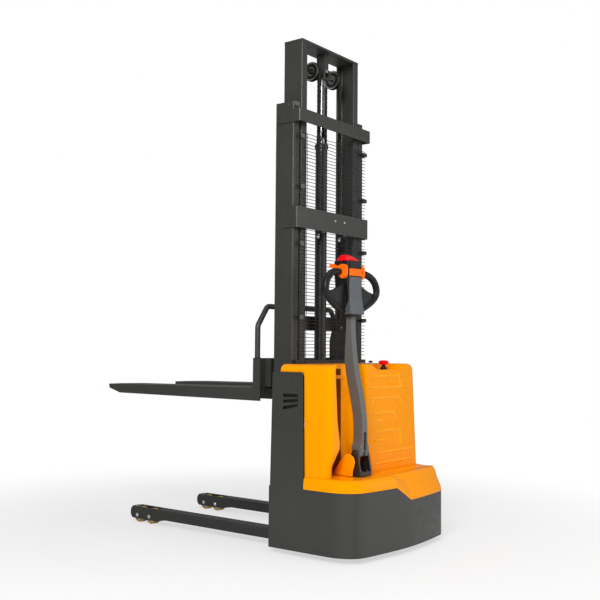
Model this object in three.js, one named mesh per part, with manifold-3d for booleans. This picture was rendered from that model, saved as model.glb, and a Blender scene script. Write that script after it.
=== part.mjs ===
// Walkie stacker: a two-stage mast truck with fork-over legs, a steered drive wheel and an upright tiller.
// Millimetres, +Z up, +Y toward the fork tips, +X toward the truck's right seen by the operator.
import * as THREE from 'three';
import { mergeVertices } from 'three/addons/utils/BufferGeometryUtils.js';
import Module from 'manifold-3d';

const wasm = await Module();
wasm.setup();

// ---- running gaps ----
const GAP = 0.3;
const PIN_GAP = 0.12;

// ---- outer mast ----
const OUTER_HALF = 296;
const CHANNEL_DEPTH = 111.5;
const OUTER_WEB = 10;
const OUTER_FLANGE = 46;
const FLANGE_THICK = 12;
const MAST_FOOT_Z = 83.4;
const OUTER_TOP_Z = 2124;

// ---- lift at rest ----
const RAISE = 328.5;

// ---- inner mast ----
const INNER_HALF = 241;
const INNER_REAR_Y = -6.7;
const INNER_FRONT_Y = 107.3;
const INNER_WEB = 9;
const INNER_FLANGE = 41;
const INNER_FOOT_Z = 90 + RAISE;
const INNER_TOP_Z = 2445;
const TOP_PLATE_THICK = 12;
const INNER_TIE_HEIGHT = 60;

// ---- crossbars ----
const CROSSBAR_HALF = 303;
const CROSSBAR_PLATE = 6.7;
const TOP_BAR = { rear: -46, front: 95, low: 2021.5, high: 2084 };
const MID_BAR = { rear: -33, front: 60, low: 1512, high: 1613.5 };
const BASE_BAR = { rear: -33, front: -7.5, low: 620, high: 690 };

// ---- mesh guard ----
const GUARD_Y = -17;
const GUARD_WIRE = 3;
const GUARD_PITCH = 60;
const GUARD_LOW_Z = 892;
const GUARD_HIGH_Z = 2012;
const GUARD_LEFT_X = -258;
const GUARD_RIGHT_X = 318;

// ---- lift cylinder, rod, pulleys ----
const CYL_Y = 53;
const BARREL_R = 30;
const BARREL_BORE_R = 19;
const BARREL_TOP_Z = 1950;
const GLAND_R = 34;
const GLAND_HEIGHT = 22;
const ROD_R = 17.5;
const ROD_FOOT_Z = 450;
const PULLEY_X = 90;
const PULLEY_Y = 50;
const PULLEY_Z = 2324;
const PULLEY_R = 44;
const PULLEY_HALF_WIDTH = 11;
const AXLE_R = 9;

// ---- chains ----
const CHAIN_HALF_WIDTH = 8;
const CHAIN_THICK = 9;
const CHAIN_REAR_Y = PULLEY_Y - PULLEY_R - CHAIN_THICK / 2 + 3;
const CHAIN_FRONT_Y = PULLEY_Y + PULLEY_R + CHAIN_THICK / 2 - 3;
const CHAIN_ANCHOR_Z = 1500;

// ---- carriage and forks ----
const CARRIAGE_HALF = 300;
const CARRIAGE_REAR_Y = 125;
const CARRIAGE_FRONT_Y = 157.5;
const CARRIAGE_LOW_Z = 706;
const CARRIAGE_HIGH_Z = 890;
const SIDE_PLATE_X = 180;
const SIDE_PLATE_THICK = 11;
const SIDE_PLATE_LOW_Z = 812;
const SIDE_PLATE_HIGH_Z = 1090;
const FORK_CENTRE_X = 254;
const FORK_WIDTH = 170;
const FORK_WALL = 6;
const SHANK_REAR_Y = 158;
const FORK_HEEL_Y = 203;
const FORK_TAPER_Y = 1157;
const FORK_TIP_Y = 1290;
const FORK_TOP_Z = 748;
const FORK_TAPER_TOP_Z = 738.7;
const FORK_TIP_TOP_Z = 735;
const FORK_PLATE = 4.5;
const FORK_UNDER_Z = 686;
const CARRIAGE_TIE_Y = [90, 98];
const CARRIAGE_TIE_LOW_Z = 1030;
const BACKREST_R = 13.5;
const BACKREST_X = 333;
const BACKREST_Y = 180;
const BACKREST_BEND_Z = 1046;
const BACKREST_TOP_X = 262;
const BACKREST_TOP_Z = 1142;

// ---- legs and load wheels ----
const LEG_OUTER_X = 288.4;
const LEG_INNER_X = 220.9;
const LEG_REAR_Y = -11.5;
const LEG_TIP_Y = 1106;
const LEG_TOP_Z = 83;
const LEG_UNDER_Z = 34;
const LEG_CHEEK = 10;
const LOAD_WHEEL_R = 40;
const LOAD_WHEEL_HALF = 22;
const LOAD_AXLE_R = 7;
const LOAD_AXLE_Z = 40;
const LOAD_AXLE_YS = [1053, 962];

// ---- lower shell (side panels and rear skirt) ----
const SHELL_HALF = 394;
const SHELL_WALL = 4;
const SHELL_FRONT_Y = 50;
const SKIRT_LOW_Z = 26;
const SKIRT_TOP_Z = 306;
const NOTCH_LOW_Z = 240;
const NOTCH_LEFT_X = -87;
const NOTCH_RIGHT_X = 25;
const SEAM_Y = -131;
const PANEL_TOP_Z = 829;
const PANEL_TOP_INSET = 12;

// ---- upper cover and ledge ----
const COVER_LOW_Z = 360.5;
const COVER_TOP_Z = 865;
const COVER_HALF_LOW = 382;
const COVER_HALF_HIGH = 368;
const COVER_REAR_LOW_Y = -296;
const COVER_REAR_HIGH_Y = -281;
const COVER_WALL = 4;
const COVER_FRONT_Y = -29;
const STRIP_FRONT_Y = 7;
const RECESS = { left: -322, right: -84, front: -204 };
const LEDGE_TOP_Z = 360;
const LEDGE_WALL = 4;

// ---- steering, drive and caster ----
const STEER_X = -195;
const STEER_TURN = THREE.MathUtils.degToRad(-6);
const STEER_Y = -300;
const STEER_SHAFT_R = 30;
const DRIVE_R = 105;
const DRIVE_HALF = 35;
const CASTER_X = 225;
const CASTER_Y = -290;
const CASTER_TRAIL = 35;
const CASTER_R = 62;
const CASTER_HALF = 20;

// ---- tiller ----
const TILT_Y = -325;
const TILT_Z = 462;
const PIVOT_R = 9;
const ARM_HALF = 17;
const HEAD_HALF = 50;
const HEAD_LOW_Z = 1128;
const HEAD_HIGH_Z = 1345;
const HEAD_REAR_Y = -292;
const THROTTLE_Y = -258;
const THROTTLE_Z = 1292;
const SHAFT_R = 8;
const GRIP_Y = THROTTLE_Y;
const ROCKER = { half: 42, rear: -300, front: -283, z: [1274, 1308] };
const GRIP_R = 16.5;
const GRIP_X = 182;

// ---- top controls ----
const ESTOP = { x: 108, y: -255, z: 838.5 };
const KEY = { x: -8, y: -255, z: 866 };
// The pocket for the emergency stop in the cover's top rear edge, as an outline in x and z.
const STOP_POCKET = { front: -218, floor: 838, left: [-44, 14], right: [226, 240] };

// =====================================================================
// Geometry helpers
// =====================================================================
const SEG_SMALL = 12;
const SEG = 24;
const SEG_LARGE = 36;

function toSolid(geometry) {
  const bare = geometry.clone();
  bare.deleteAttribute('normal');
  bare.deleteAttribute('uv');
  const merged = mergeVertices(bare, 1e-4);
  const mesh = new wasm.Mesh({
    numProp: 3,
    vertProperties: new Float32Array(merged.attributes.position.array),
    triVerts: new Uint32Array(merged.index.array),
  });
  return new wasm.Manifold(mesh);
}

function toGeometry(solid) {
  const mesh = solid.getMesh();
  const geometry = new THREE.BufferGeometry();
  geometry.setAttribute('position', new THREE.BufferAttribute(new Float32Array(mesh.vertProperties), 3));
  geometry.setIndex(new THREE.BufferAttribute(new Uint32Array(mesh.triVerts), 1));
  return geometry;
}

function box(x, y, z) {
  const geometry = new THREE.BoxGeometry(x[1] - x[0], y[1] - y[0], z[1] - z[0]);
  geometry.translate((x[0] + x[1]) / 2, (y[0] + y[1]) / 2, (z[0] + z[1]) / 2);
  return toSolid(geometry);
}

// A cylinder or cone along an axis; a and b are the centre's other two coordinates, in x, y, z order.
function rod(axis, radius, span, a, b, segments = SEG, endRadius = radius) {
  const geometry = new THREE.CylinderGeometry(endRadius, radius, span[1] - span[0], segments);
  const middle = (span[0] + span[1]) / 2;
  if (axis === 'x') {
    geometry.rotateZ(-Math.PI / 2);
    geometry.translate(middle, a, b);
  } else if (axis === 'z') {
    geometry.rotateX(Math.PI / 2);
    geometry.translate(a, b, middle);
  } else {
    geometry.translate(a, middle, b);
  }
  return toSolid(geometry);
}

function extrude(points, depth) {
  const shape = new THREE.Shape(points.map(([u, v]) => new THREE.Vector2(u, v)));
  return new THREE.ExtrudeGeometry(shape, { depth, bevelEnabled: false });
}

// Outlines: (y, z) along x, (x, z) along y, (x, y) along z.
function plate(axis, points, span) {
  const geometry = extrude(points, span[1] - span[0]);
  if (axis === 'x') {
    geometry.applyMatrix4(new THREE.Matrix4().set(0, 0, 1, span[0], 1, 0, 0, 0, 0, 1, 0, 0, 0, 0, 0, 1));
  } else if (axis === 'y') {
    geometry.applyMatrix4(new THREE.Matrix4().set(1, 0, 0, 0, 0, 0, -1, span[1], 0, 1, 0, 0, 0, 0, 0, 1));
  } else {
    geometry.translate(0, 0, span[0]);
  }
  return toSolid(geometry);
}

// A closed body through a stack of outlines with the same number of points, counter-clockwise from above.
function loft(rings) {
  const count = rings[0].outline.length;
  const positions = rings.flatMap(({ z, outline }) => outline.flatMap(([x, y]) => [x, y, z]));
  const index = [];
  for (let level = 0; level < rings.length - 1; level += 1) {
    for (let i = 0; i < count; i += 1) {
      const a = level * count + i;
      const b = level * count + ((i + 1) % count);
      index.push(a, b, b + count, a, b + count, a + count);
    }
  }
  const cap = (level, flip) => {
    const contour = rings[level].outline.map(([x, y]) => new THREE.Vector2(x, y));
    for (const [a, b, c] of THREE.ShapeUtils.triangulateShape(contour, [])) {
      const face = flip ? [c, b, a] : [a, b, c];
      index.push(...face.map((i) => level * count + i));
    }
  };
  cap(0, true);
  cap(rings.length - 1, false);
  const geometry = new THREE.BufferGeometry();
  geometry.setAttribute('position', new THREE.Float32BufferAttribute(positions, 3));
  geometry.setIndex(index);
  return toSolid(geometry);
}

// A round bar along a smooth path through points, closed at both ends.
function bar(points, radius, steps, sides, tension = 0.5) {
  const path = new THREE.CatmullRomCurve3(points.map((p) => new THREE.Vector3(...p)), false, 'catmullrom', tension);
  const circle = [];
  for (let i = 0; i < sides; i += 1) {
    const angle = (i / sides) * 2 * Math.PI;
    circle.push(new THREE.Vector2(radius * Math.cos(angle), radius * Math.sin(angle)));
  }
  return toSolid(new THREE.ExtrudeGeometry(new THREE.Shape(circle), { steps, extrudePath: path, bevelEnabled: false }));
}

function join(...solids) {
  return solids.reduce((sum, solid) => sum.add(solid));
}

function cut(solid, ...tools) {
  return tools.reduce((rest, tool) => rest.subtract(tool), solid);
}

function mirrorX(points) {
  return points.map(([x, ...rest]) => [-x, ...rest]).reverse();
}

const machine = new THREE.Group();
machine.name = 'walkie_stacker';

const LOOKS = {
  mastPaint: { color: 0x4f4d49, roughness: 0.5, metalness: 0.2 },
  shellPaint: { color: 0x4c4b48, roughness: 0.5, metalness: 0.2 },
  amber: { color: 0xffa000, roughness: 0.3, metalness: 0 },
  blackWire: { color: 0x101010, roughness: 0.5, metalness: 0.2 },
  chrome: { color: 0xd8d8d8, roughness: 0.12, metalness: 1 },
  steel: { color: 0x9a9a98, roughness: 0.35, metalness: 1 },
  chain: { color: 0x3a3836, roughness: 0.45, metalness: 0.8 },
  amberTread: { color: 0xc8962f, roughness: 0.55, metalness: 0 },
  darkTread: { color: 0x2e2e2e, roughness: 0.7, metalness: 0 },
  blackPlastic: { color: 0x151515, roughness: 0.6, metalness: 0 },
  orange: { color: 0xff6e0a, roughness: 0.35, metalness: 0 },
  red: { color: 0xe60014, roughness: 0.35, metalness: 0 },
  armGrey: { color: 0x636466, roughness: 0.45, metalness: 0.3 },
  casting: { color: 0x2b2b2b, roughness: 0.6, metalness: 0.4 },
};

function meshOf(name, look, solid) {
  const mesh = new THREE.Mesh(toGeometry(solid), new THREE.MeshStandardMaterial(LOOKS[look]));
  mesh.name = name;
  return mesh;
}

function addNode(name, look, solid) {
  machine.add(meshOf(name, look, solid));
}

// Adds a node that turns with the steering, placed at its resting steering angle.
function addSteered(name, look, solid) {
  const mesh = meshOf(name, look, solid);
  mesh.geometry.translate(-STEER_X, -STEER_Y, 0);
  mesh.geometry.rotateZ(STEER_TURN);
  mesh.geometry.translate(STEER_X, STEER_Y, 0);
  machine.add(mesh);
}

const SIDES = [
  { side: -1, name: 'left' },
  { side: 1, name: 'right' },
];

function spanX(side, near, far) {
  return side < 0 ? [-far, -near] : [near, far];
}

// =====================================================================
// Outer mast
// =====================================================================
function outerRail(side) {
  const web = box(spanX(side, OUTER_HALF - OUTER_WEB, OUTER_HALF), [0, CHANNEL_DEPTH], [MAST_FOOT_Z, OUTER_TOP_Z]);
  const flangeX = spanX(side, OUTER_HALF - OUTER_FLANGE, OUTER_HALF - OUTER_WEB + 1);
  const heights = [MAST_FOOT_Z, OUTER_TOP_Z];
  const rear = box(flangeX, [0, FLANGE_THICK], heights);
  const front = box(flangeX, [CHANNEL_DEPTH - FLANGE_THICK, CHANNEL_DEPTH], heights);
  return join(web, rear, front);
}

function wrapBar({ rear, front, low, high }) {
  const outer = box([-CROSSBAR_HALF, CROSSBAR_HALF], [rear, front], [low, high]);
  const hollowHalf = CROSSBAR_HALF - CROSSBAR_PLATE;
  const hollow = box([-hollowHalf, hollowHalf], [rear + CROSSBAR_PLATE, front + 1], [low - 1, high + 1]);
  return cut(outer, hollow);
}

function chainAnchor(side) {
  const x = side * PULLEY_X;
  const lug = box([x - 12, x + 12], [MID_BAR.rear + 2, CHAIN_REAR_Y + 8], [MID_BAR.low - 8, MID_BAR.low + 12]);
  const nut = rod('z', 8, [MID_BAR.low - 34, MID_BAR.low - 7], x, CHAIN_REAR_Y, SEG_SMALL);
  return join(lug, nut);
}

for (const { side, name } of SIDES) addNode(`outer_rail_${name}`, 'mastPaint', outerRail(side));
addNode('crossbar_top', 'mastPaint', wrapBar(TOP_BAR));
addNode('crossbar_mid', 'mastPaint', join(wrapBar(MID_BAR), chainAnchor(-1), chainAnchor(1)));

function baseBar() {
  const heights = [BASE_BAR.low, BASE_BAR.high];
  const bar = box([-OUTER_HALF, OUTER_HALF], [BASE_BAR.rear, BASE_BAR.front], heights);
  const tabs = SIDES.map(({ side }) => box(spanX(side, INNER_HALF + 11, OUTER_HALF), [BASE_BAR.front - 1, -GAP], heights));
  return join(bar, ...tabs);
}

addNode('crossbar_base', 'mastPaint', baseBar());

// =====================================================================
// Mesh guard behind the mast
// =====================================================================
function guardWires() {
  const half = GUARD_WIRE / 2;
  const wires = [];
  const count = Math.floor((GUARD_HIGH_Z - GUARD_LOW_Z) / GUARD_PITCH);
  for (let i = 0; i <= count; i += 1) {
    const z = GUARD_LOW_Z + i * GUARD_PITCH;
    wires.push(box([GUARD_LEFT_X, GUARD_RIGHT_X], [GUARD_Y - half, GUARD_Y + half], [z - half, z + half]));
  }
  for (const x of [-258, -205, -130, -45, 45, 130, 205, 300]) {
    wires.push(box([x - half, x + half], [GUARD_Y, GUARD_Y + GUARD_WIRE], [GUARD_LOW_Z - 8, GUARD_HIGH_Z]));
  }
  const anchorGaps = SIDES.map(({ side }) =>
    box(spanX(side, PULLEY_X - 16, PULLEY_X + 16), [-60, 60], [MID_BAR.low - 40, MID_BAR.low + 16]),
  );
  const midBarGap = box([OUTER_HALF - 4, GUARD_RIGHT_X + 10], [-60, 60], [MID_BAR.low - 4, MID_BAR.high + 4]);
  return cut(join(...wires), ...anchorGaps, midBarGap);
}

addNode('mesh_guard', 'blackWire', guardWires());
addNode('guard_sill', 'blackWire', box([-OUTER_HALF + 2, OUTER_HALF - 2], [-24, -7.2], [866, 883]));

// =====================================================================
// Lift cylinder
// =====================================================================
function cylinderBarrel() {
  const barrel = rod('z', BARREL_R, [MAST_FOOT_Z, BARREL_TOP_Z], 0, CYL_Y);
  const gland = rod('z', GLAND_R, [BARREL_TOP_Z - 1, BARREL_TOP_Z + GLAND_HEIGHT], 0, CYL_Y);
  const bore = rod('z', BARREL_BORE_R, [MAST_FOOT_Z + 25, BARREL_TOP_Z + 50], 0, CYL_Y);
  return cut(join(barrel, gland), bore);
}

addNode('lift_cylinder', 'blackWire', cylinderBarrel());

// =====================================================================
// Inner mast
// =====================================================================
function innerRail(side) {
  const heights = [INNER_FOOT_Z, INNER_TOP_Z - TOP_PLATE_THICK - GAP];
  const web = box(spanX(side, INNER_HALF - INNER_WEB, INNER_HALF), [INNER_REAR_Y, INNER_FRONT_Y], heights);
  const flangeX = spanX(side, INNER_HALF - INNER_FLANGE, INNER_HALF - INNER_WEB + 1);
  const rear = box(flangeX, [INNER_REAR_Y, INNER_REAR_Y + FLANGE_THICK], heights);
  const front = box(flangeX, [INNER_FRONT_Y - FLANGE_THICK, INNER_FRONT_Y], heights);
  return join(web, rear, front);
}

const ROLLER_R = 41;
const ROLLER_STUB_R = 14;

function mastRoller(side) {
  const x = spanX(side, INNER_HALF + 12, OUTER_HALF - OUTER_WEB - 2);
  const y = (INNER_REAR_Y + INNER_FRONT_Y) / 2 + 5;
  const z = INNER_FOOT_Z + 45;
  const tyre = rod('x', ROLLER_R, x, y, z);
  const stub = rod('x', ROLLER_STUB_R, spanX(side, INNER_HALF + GAP, INNER_HALF + 13), y, z, SEG_SMALL);
  return join(tyre, stub);
}

const topPlateSpan = [INNER_TOP_Z - TOP_PLATE_THICK, INNER_TOP_Z];
const YOKE_HALF = 30;
const YOKE_LOW_Z = PULLEY_Z - 20;

function liftYoke() {
  const x = [-YOKE_HALF, YOKE_HALF];
  const block = box(x, [PULLEY_Y - 32, PULLEY_Y + 32], [YOKE_LOW_Z, PULLEY_Z + 30]);
  const neck = box([-16, 16], [PULLEY_Y - 26, PULLEY_Y + 26], [PULLEY_Z + 29, topPlateSpan[0] - GAP]);
  const bore = rod('x', AXLE_R + PIN_GAP, [-YOKE_HALF - 5, YOKE_HALF + 5], PULLEY_Y, PULLEY_Z);
  return cut(join(block, neck), bore);
}

function pulleyAxle() {
  const half = PULLEY_X + PULLEY_HALF_WIDTH;
  const shaft = rod('x', AXLE_R, [-half - 10, half + 10], PULLEY_Y, PULLEY_Z);
  const heads = [-1, 1].map((side) => rod('x', 14, spanX(side, half + 3, half + 9), PULLEY_Y, PULLEY_Z, SEG_SMALL));
  return join(shaft, ...heads);
}

// A chain pulley: two flanges and a groove, bored for its axle.
function pulley(side) {
  const x = side * PULLEY_X;
  const groove = rod('x', PULLEY_R - 6, [x - PULLEY_HALF_WIDTH, x + PULLEY_HALF_WIDTH], PULLEY_Y, PULLEY_Z, SEG);
  const flanges = [-1, 1].map((end) => {
    const edge = x + end * (PULLEY_HALF_WIDTH - 1.4);
    return rod('x', PULLEY_R + 4, [edge - 1.4, edge + 1.4], PULLEY_Y, PULLEY_Z, SEG);
  });
  const bore = rod('x', AXLE_R + PIN_GAP, [x - 20, x + 20], PULLEY_Y, PULLEY_Z);
  return cut(join(groove, ...flanges), bore);
}

for (const { side, name } of SIDES) {
  addNode(`inner_rail_${name}`, 'mastPaint', innerRail(side));
  addNode(`mast_roller_${name}`, 'steel', mastRoller(side));
  addNode(`chain_pulley_${name}`, 'steel', pulley(side));
}
addNode('inner_top_plate', 'mastPaint', box([-INNER_HALF, INNER_HALF], [INNER_REAR_Y, INNER_FRONT_Y], topPlateSpan));
addNode(
  'inner_foot_tie', 'mastPaint',
  box(
    [-INNER_HALF + INNER_FLANGE + GAP, INNER_HALF - INNER_FLANGE - GAP],
    [INNER_FRONT_Y - 10, INNER_FRONT_Y],
    [INNER_FOOT_Z, INNER_FOOT_Z + INNER_TIE_HEIGHT],
  ),
);
addNode('piston_rod', 'chrome', rod('z', ROD_R, [ROD_FOOT_Z, YOKE_LOW_Z - GAP], 0, CYL_Y));
addNode('lift_yoke', 'mastPaint', liftYoke());
addNode('pulley_axle', 'steel', pulleyAxle());

// =====================================================================
// Lift chains
// =====================================================================
const CARRIAGE_CHAIN_Z = 1100;

function chainRun(side, y, span) {
  const x = side * PULLEY_X;
  const half = CHAIN_THICK / 2;
  return box([x - CHAIN_HALF_WIDTH, x + CHAIN_HALF_WIDTH], [y - half, y + half], span);
}

for (const { side, name } of SIDES) {
  addNode(`chain_rear_${name}`, 'chain', chainRun(side, CHAIN_REAR_Y, [CHAIN_ANCHOR_Z + 25, PULLEY_Z]));
  addNode(`chain_front_${name}`, 'chain', chainRun(side, CHAIN_FRONT_Y, [CARRIAGE_CHAIN_Z, PULLEY_Z]));
}

// =====================================================================
// Carriage, backrest and forks
// =====================================================================
function carriage() {
  const x = [-CARRIAGE_HALF, CARRIAGE_HALF];
  const front = box(x, [CARRIAGE_REAR_Y, CARRIAGE_FRONT_Y], [CARRIAGE_LOW_Z, CARRIAGE_HIGH_Z]);
  const legCuts = SIDES.map(({ side }) =>
    box(spanX(side, LEG_INNER_X - 12, LEG_OUTER_X + 12), [100, 170], [CARRIAGE_LOW_Z - 5, CARRIAGE_LOW_Z + 48]),
  );
  const sides = SIDES.map(({ side }) =>
    plate(
      'x',
      [
        [14, SIDE_PLATE_LOW_Z],
        [126, SIDE_PLATE_LOW_Z],
        [126, 980],
        [96, SIDE_PLATE_HIGH_Z],
        [14, SIDE_PLATE_HIGH_Z],
      ],
      spanX(side, SIDE_PLATE_X, SIDE_PLATE_X + SIDE_PLATE_THICK),
    ),
  );
  const tieX = [-SIDE_PLATE_X - 1, SIDE_PLATE_X + 1];
  const tie = box(tieX, CARRIAGE_TIE_Y, [CARRIAGE_TIE_LOW_Z, CARRIAGE_CHAIN_Z - GAP]);
  return join(cut(front, ...legCuts), ...sides, tie);
}

const CARRIAGE_ROLLER_R = 40;
const CARRIAGE_ROLLER_ZS = [858, 1044];

function carriageRoller(side, z) {
  const y = (INNER_REAR_Y + INNER_FRONT_Y) / 2;
  const tyre = rod('x', CARRIAGE_ROLLER_R, spanX(side, 204, INNER_HALF - INNER_WEB - 2), y, z);
  const stubX = spanX(side, SIDE_PLATE_X + SIDE_PLATE_THICK + GAP, 205);
  return join(tyre, rod('x', ROLLER_STUB_R, stubX, y, z, SEG_SMALL));
}

// An inverted-U fork blade that drops over the leg, with its shank at the heel.
function fork(side) {
  const centre = side * FORK_CENTRE_X;
  const half = FORK_WIDTH / 2;
  const profile = [
    [SHANK_REAR_Y, CARRIAGE_HIGH_Z],
    [SHANK_REAR_Y, FORK_UNDER_Z],
    [FORK_HEEL_Y + 60, FORK_UNDER_Z],
    [FORK_TAPER_Y, FORK_UNDER_Z + 5],
    [FORK_TIP_Y - 12, FORK_TIP_TOP_Z - 22],
    [FORK_TIP_Y, FORK_TIP_TOP_Z - 8],
    [FORK_TIP_Y, FORK_TIP_TOP_Z],
    [FORK_TAPER_Y, FORK_TAPER_TOP_Z],
    [FORK_HEEL_Y + 12, FORK_TOP_Z],
    [FORK_HEEL_Y, FORK_TOP_Z + 12],
    [FORK_HEEL_Y, CARRIAGE_HIGH_Z],
  ];
  const plan = [
    [centre - half, SHANK_REAR_Y],
    [centre + half, SHANK_REAR_Y],
    [centre + half, FORK_TAPER_Y],
    [centre + half - 34, FORK_TIP_Y - 6],
    [centre + half - 44, FORK_TIP_Y],
    [centre - half + 44, FORK_TIP_Y],
    [centre - half + 34, FORK_TIP_Y - 6],
    [centre - half, FORK_TAPER_Y],
  ];
  const blade = plate('x', profile, [centre - half, centre + half]);
  const solid = blade.intersect(plate('z', plan, [600, 1000]));
  const hollow = plate(
    'x',
    [
      [SHANK_REAR_Y - 20, FORK_UNDER_Z - 20],
      [FORK_TAPER_Y, FORK_UNDER_Z - 20],
      [FORK_TAPER_Y, FORK_TAPER_TOP_Z - FORK_PLATE],
      [FORK_HEEL_Y + 12, FORK_TOP_Z - FORK_PLATE],
      [SHANK_REAR_Y - 20, FORK_TOP_Z - FORK_PLATE],
    ],
    [centre - half + FORK_WALL, centre + half - FORK_WALL],
  );
  return cut(solid, hollow);
}

// The load backrest: one bent tube, up from each fork shank and across the top.
function backrest() {
  const corners = [
    [-BACKREST_X, CARRIAGE_HIGH_Z + GAP],
    [-BACKREST_X, BACKREST_BEND_Z],
    [-BACKREST_TOP_X, BACKREST_TOP_Z],
    [BACKREST_TOP_X, BACKREST_TOP_Z],
    [BACKREST_X, BACKREST_BEND_Z],
    [BACKREST_X, CARRIAGE_HIGH_Z + GAP],
  ];
  return bar(corners.map(([x, z]) => [x, BACKREST_Y, z]), BACKREST_R, 40, SEG_SMALL, 0.12);
}

addNode('carriage', 'mastPaint', carriage());
for (const { side, name } of SIDES) {
  addNode(`fork_${name}`, 'mastPaint', fork(side));
  addNode(`carriage_roller_low_${name}`, 'steel', carriageRoller(side, CARRIAGE_ROLLER_ZS[0]));
  addNode(`carriage_roller_high_${name}`, 'steel', carriageRoller(side, CARRIAGE_ROLLER_ZS[1]));
}
addNode('backrest', 'mastPaint', backrest());

// =====================================================================
// Chassis frame, legs and load wheels
// =====================================================================
const FRAME_HALF = 350;
const FRAME_WALL_Y = [-42, -12];
const DECK_Z = [298, 305];

function chassisFrame() {
  const wall = box([-FRAME_HALF, FRAME_HALF], FRAME_WALL_Y, [60, 560]);
  const deck = box([-FRAME_HALF, FRAME_HALF], [-378, FRAME_WALL_Y[0] + 1], DECK_Z);
  const foot = box([-LEG_INNER_X + GAP, LEG_INNER_X - GAP], [FRAME_WALL_Y[1] - 1, CHANNEL_DEPTH], [56, MAST_FOOT_Z - GAP]);
  const steerHole = rod('z', STEER_SHAFT_R + GAP + 0.1, [DECK_Z[0] - 5, DECK_Z[1] + 5], STEER_X, STEER_Y);
  const casterHole = rod('z', 12 + PIN_GAP, [DECK_Z[0] - 5, DECK_Z[1] + 5], CASTER_X, CASTER_Y);
  return cut(join(wall, deck, foot), steerHole, casterHole);
}

function leg(side) {
  const x = spanX(side, LEG_INNER_X, LEG_OUTER_X);
  const outline = [
    [LEG_REAR_Y, LEG_UNDER_Z],
    [840, LEG_UNDER_Z],
    [905, 22],
    [1090, 22],
    [LEG_TIP_Y - 6, 30],
    [LEG_TIP_Y, 44],
    [LEG_TIP_Y, 62],
    [LEG_TIP_Y - 6, 76],
    [1090, LEG_TOP_Z],
    [LEG_REAR_Y, LEG_TOP_Z],
  ];
  const body = plate('x', outline, x);
  const inner = [x[0] + LEG_CHEEK, x[1] - LEG_CHEEK];
  const hollow = box(inner, [LEG_REAR_Y - 5, 899], [0, LEG_TOP_Z - 8]);
  const wheelBay = box(inner, [912, 1098], [0, LEG_TOP_Z + 5]);
  const axles = LOAD_AXLE_YS.map((y) => rod('x', LOAD_AXLE_R, [x[0] - 1.5, x[1] + 1.5], y, LOAD_AXLE_Z));
  return join(cut(body, hollow, wheelBay), ...axles);
}

function loadWheel(side, y) {
  const centre = (side * (LEG_INNER_X + LEG_OUTER_X)) / 2;
  const x = [centre - LOAD_WHEEL_HALF, centre + LOAD_WHEEL_HALF];
  const tyre = rod('x', LOAD_WHEEL_R, x, y, LOAD_AXLE_Z, SEG_LARGE);
  return cut(tyre, rod('x', LOAD_AXLE_R + PIN_GAP, [x[0] - 5, x[1] + 5], y, LOAD_AXLE_Z));
}

addNode('chassis_frame', 'mastPaint', chassisFrame());
for (const { side, name } of SIDES) {
  addNode(`leg_${name}`, 'mastPaint', leg(side));
  LOAD_AXLE_YS.forEach((y, i) => {
    addNode(`load_wheel_${i === 0 ? 'front' : 'rear'}_${name}`, 'amberTread', loadWheel(side, y));
  });
}

// =====================================================================
// Lower shell: side panels and bowed rear skirt
// =====================================================================
// The rear half of the plan outline, from the left side round to the right.
const REAR_OUTLINE = [
  [-394, -290],
  [-388, -332],
  [-372, -368],
  [-352, -397],
  [-324, -416],
  [-280, -428],
  [-180, -443],
  [-80, -455],
  [30, -462],
  [130, -459],
  [230, -451],
  [310, -442],
  [352, -435],
  [376, -424],
  [388, -404],
  [394, -372],
];

// The outline pulled in by a distance, measured along each point's outward normal.
function inset(points, distance) {
  return points.map(([x, y], i) => {
    const [ax, ay] = points[Math.max(i - 1, 0)];
    const [bx, by] = points[Math.min(i + 1, points.length - 1)];
    const length = Math.hypot(bx - ax, by - ay);
    return [x - ((by - ay) / length) * distance, y + ((bx - ax) / length) * distance];
  });
}

function closeFront(rear, frontY) {
  const left = rear[0][0];
  const right = rear[rear.length - 1][0];
  return [...rear, [right, frontY], [left, frontY]];
}

function lowerShell() {
  const ring = cut(
    plate('z', closeFront(REAR_OUTLINE, SHELL_FRONT_Y), [SKIRT_LOW_Z, SKIRT_TOP_Z]),
    plate('z', closeFront(inset(REAR_OUTLINE, SHELL_WALL), SHELL_FRONT_Y + 10), [0, 400]),
  );
  const notch = plate(
    'y',
    [
      [NOTCH_LEFT_X, SKIRT_TOP_Z],
      [NOTCH_RIGHT_X, NOTCH_LOW_Z],
      [SHELL_HALF + 20, NOTCH_LOW_Z],
      [SHELL_HALF + 20, SKIRT_TOP_Z + 20],
      [NOTCH_LEFT_X, SKIRT_TOP_Z + 20],
    ],
    [-520, -240],
  );
  const panels = SIDES.map(({ side }) => {
    const top = SHELL_HALF - PANEL_TOP_INSET;
    const section = [
      [SHELL_HALF - SHELL_WALL, SKIRT_TOP_Z - 20],
      [SHELL_HALF, SKIRT_TOP_Z - 20],
      [SHELL_HALF, SKIRT_TOP_Z],
      [top, PANEL_TOP_Z],
      [top - SHELL_WALL, PANEL_TOP_Z],
      [SHELL_HALF - SHELL_WALL, SKIRT_TOP_Z],
    ];
    const outline = side < 0 ? mirrorX(section) : section;
    const panel = plate('y', outline, [SEAM_Y, SHELL_FRONT_Y - 6]);
    const slots = [0, 1, 2].map((i) => {
      const z = 726 - i * 30;
      const points = [
        [-104, z - 6 + i * 7],
        [-17, z - 9],
        [-17, z + 9],
        [-104, z + 7 + i * 7],
      ];
      return plate('x', points, spanX(side, 340, 420));
    });
    return cut(panel, ...slots);
  });
  return join(cut(ring, notch), ...panels);
}

addNode('lower_shell', 'shellPaint', lowerShell());

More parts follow.
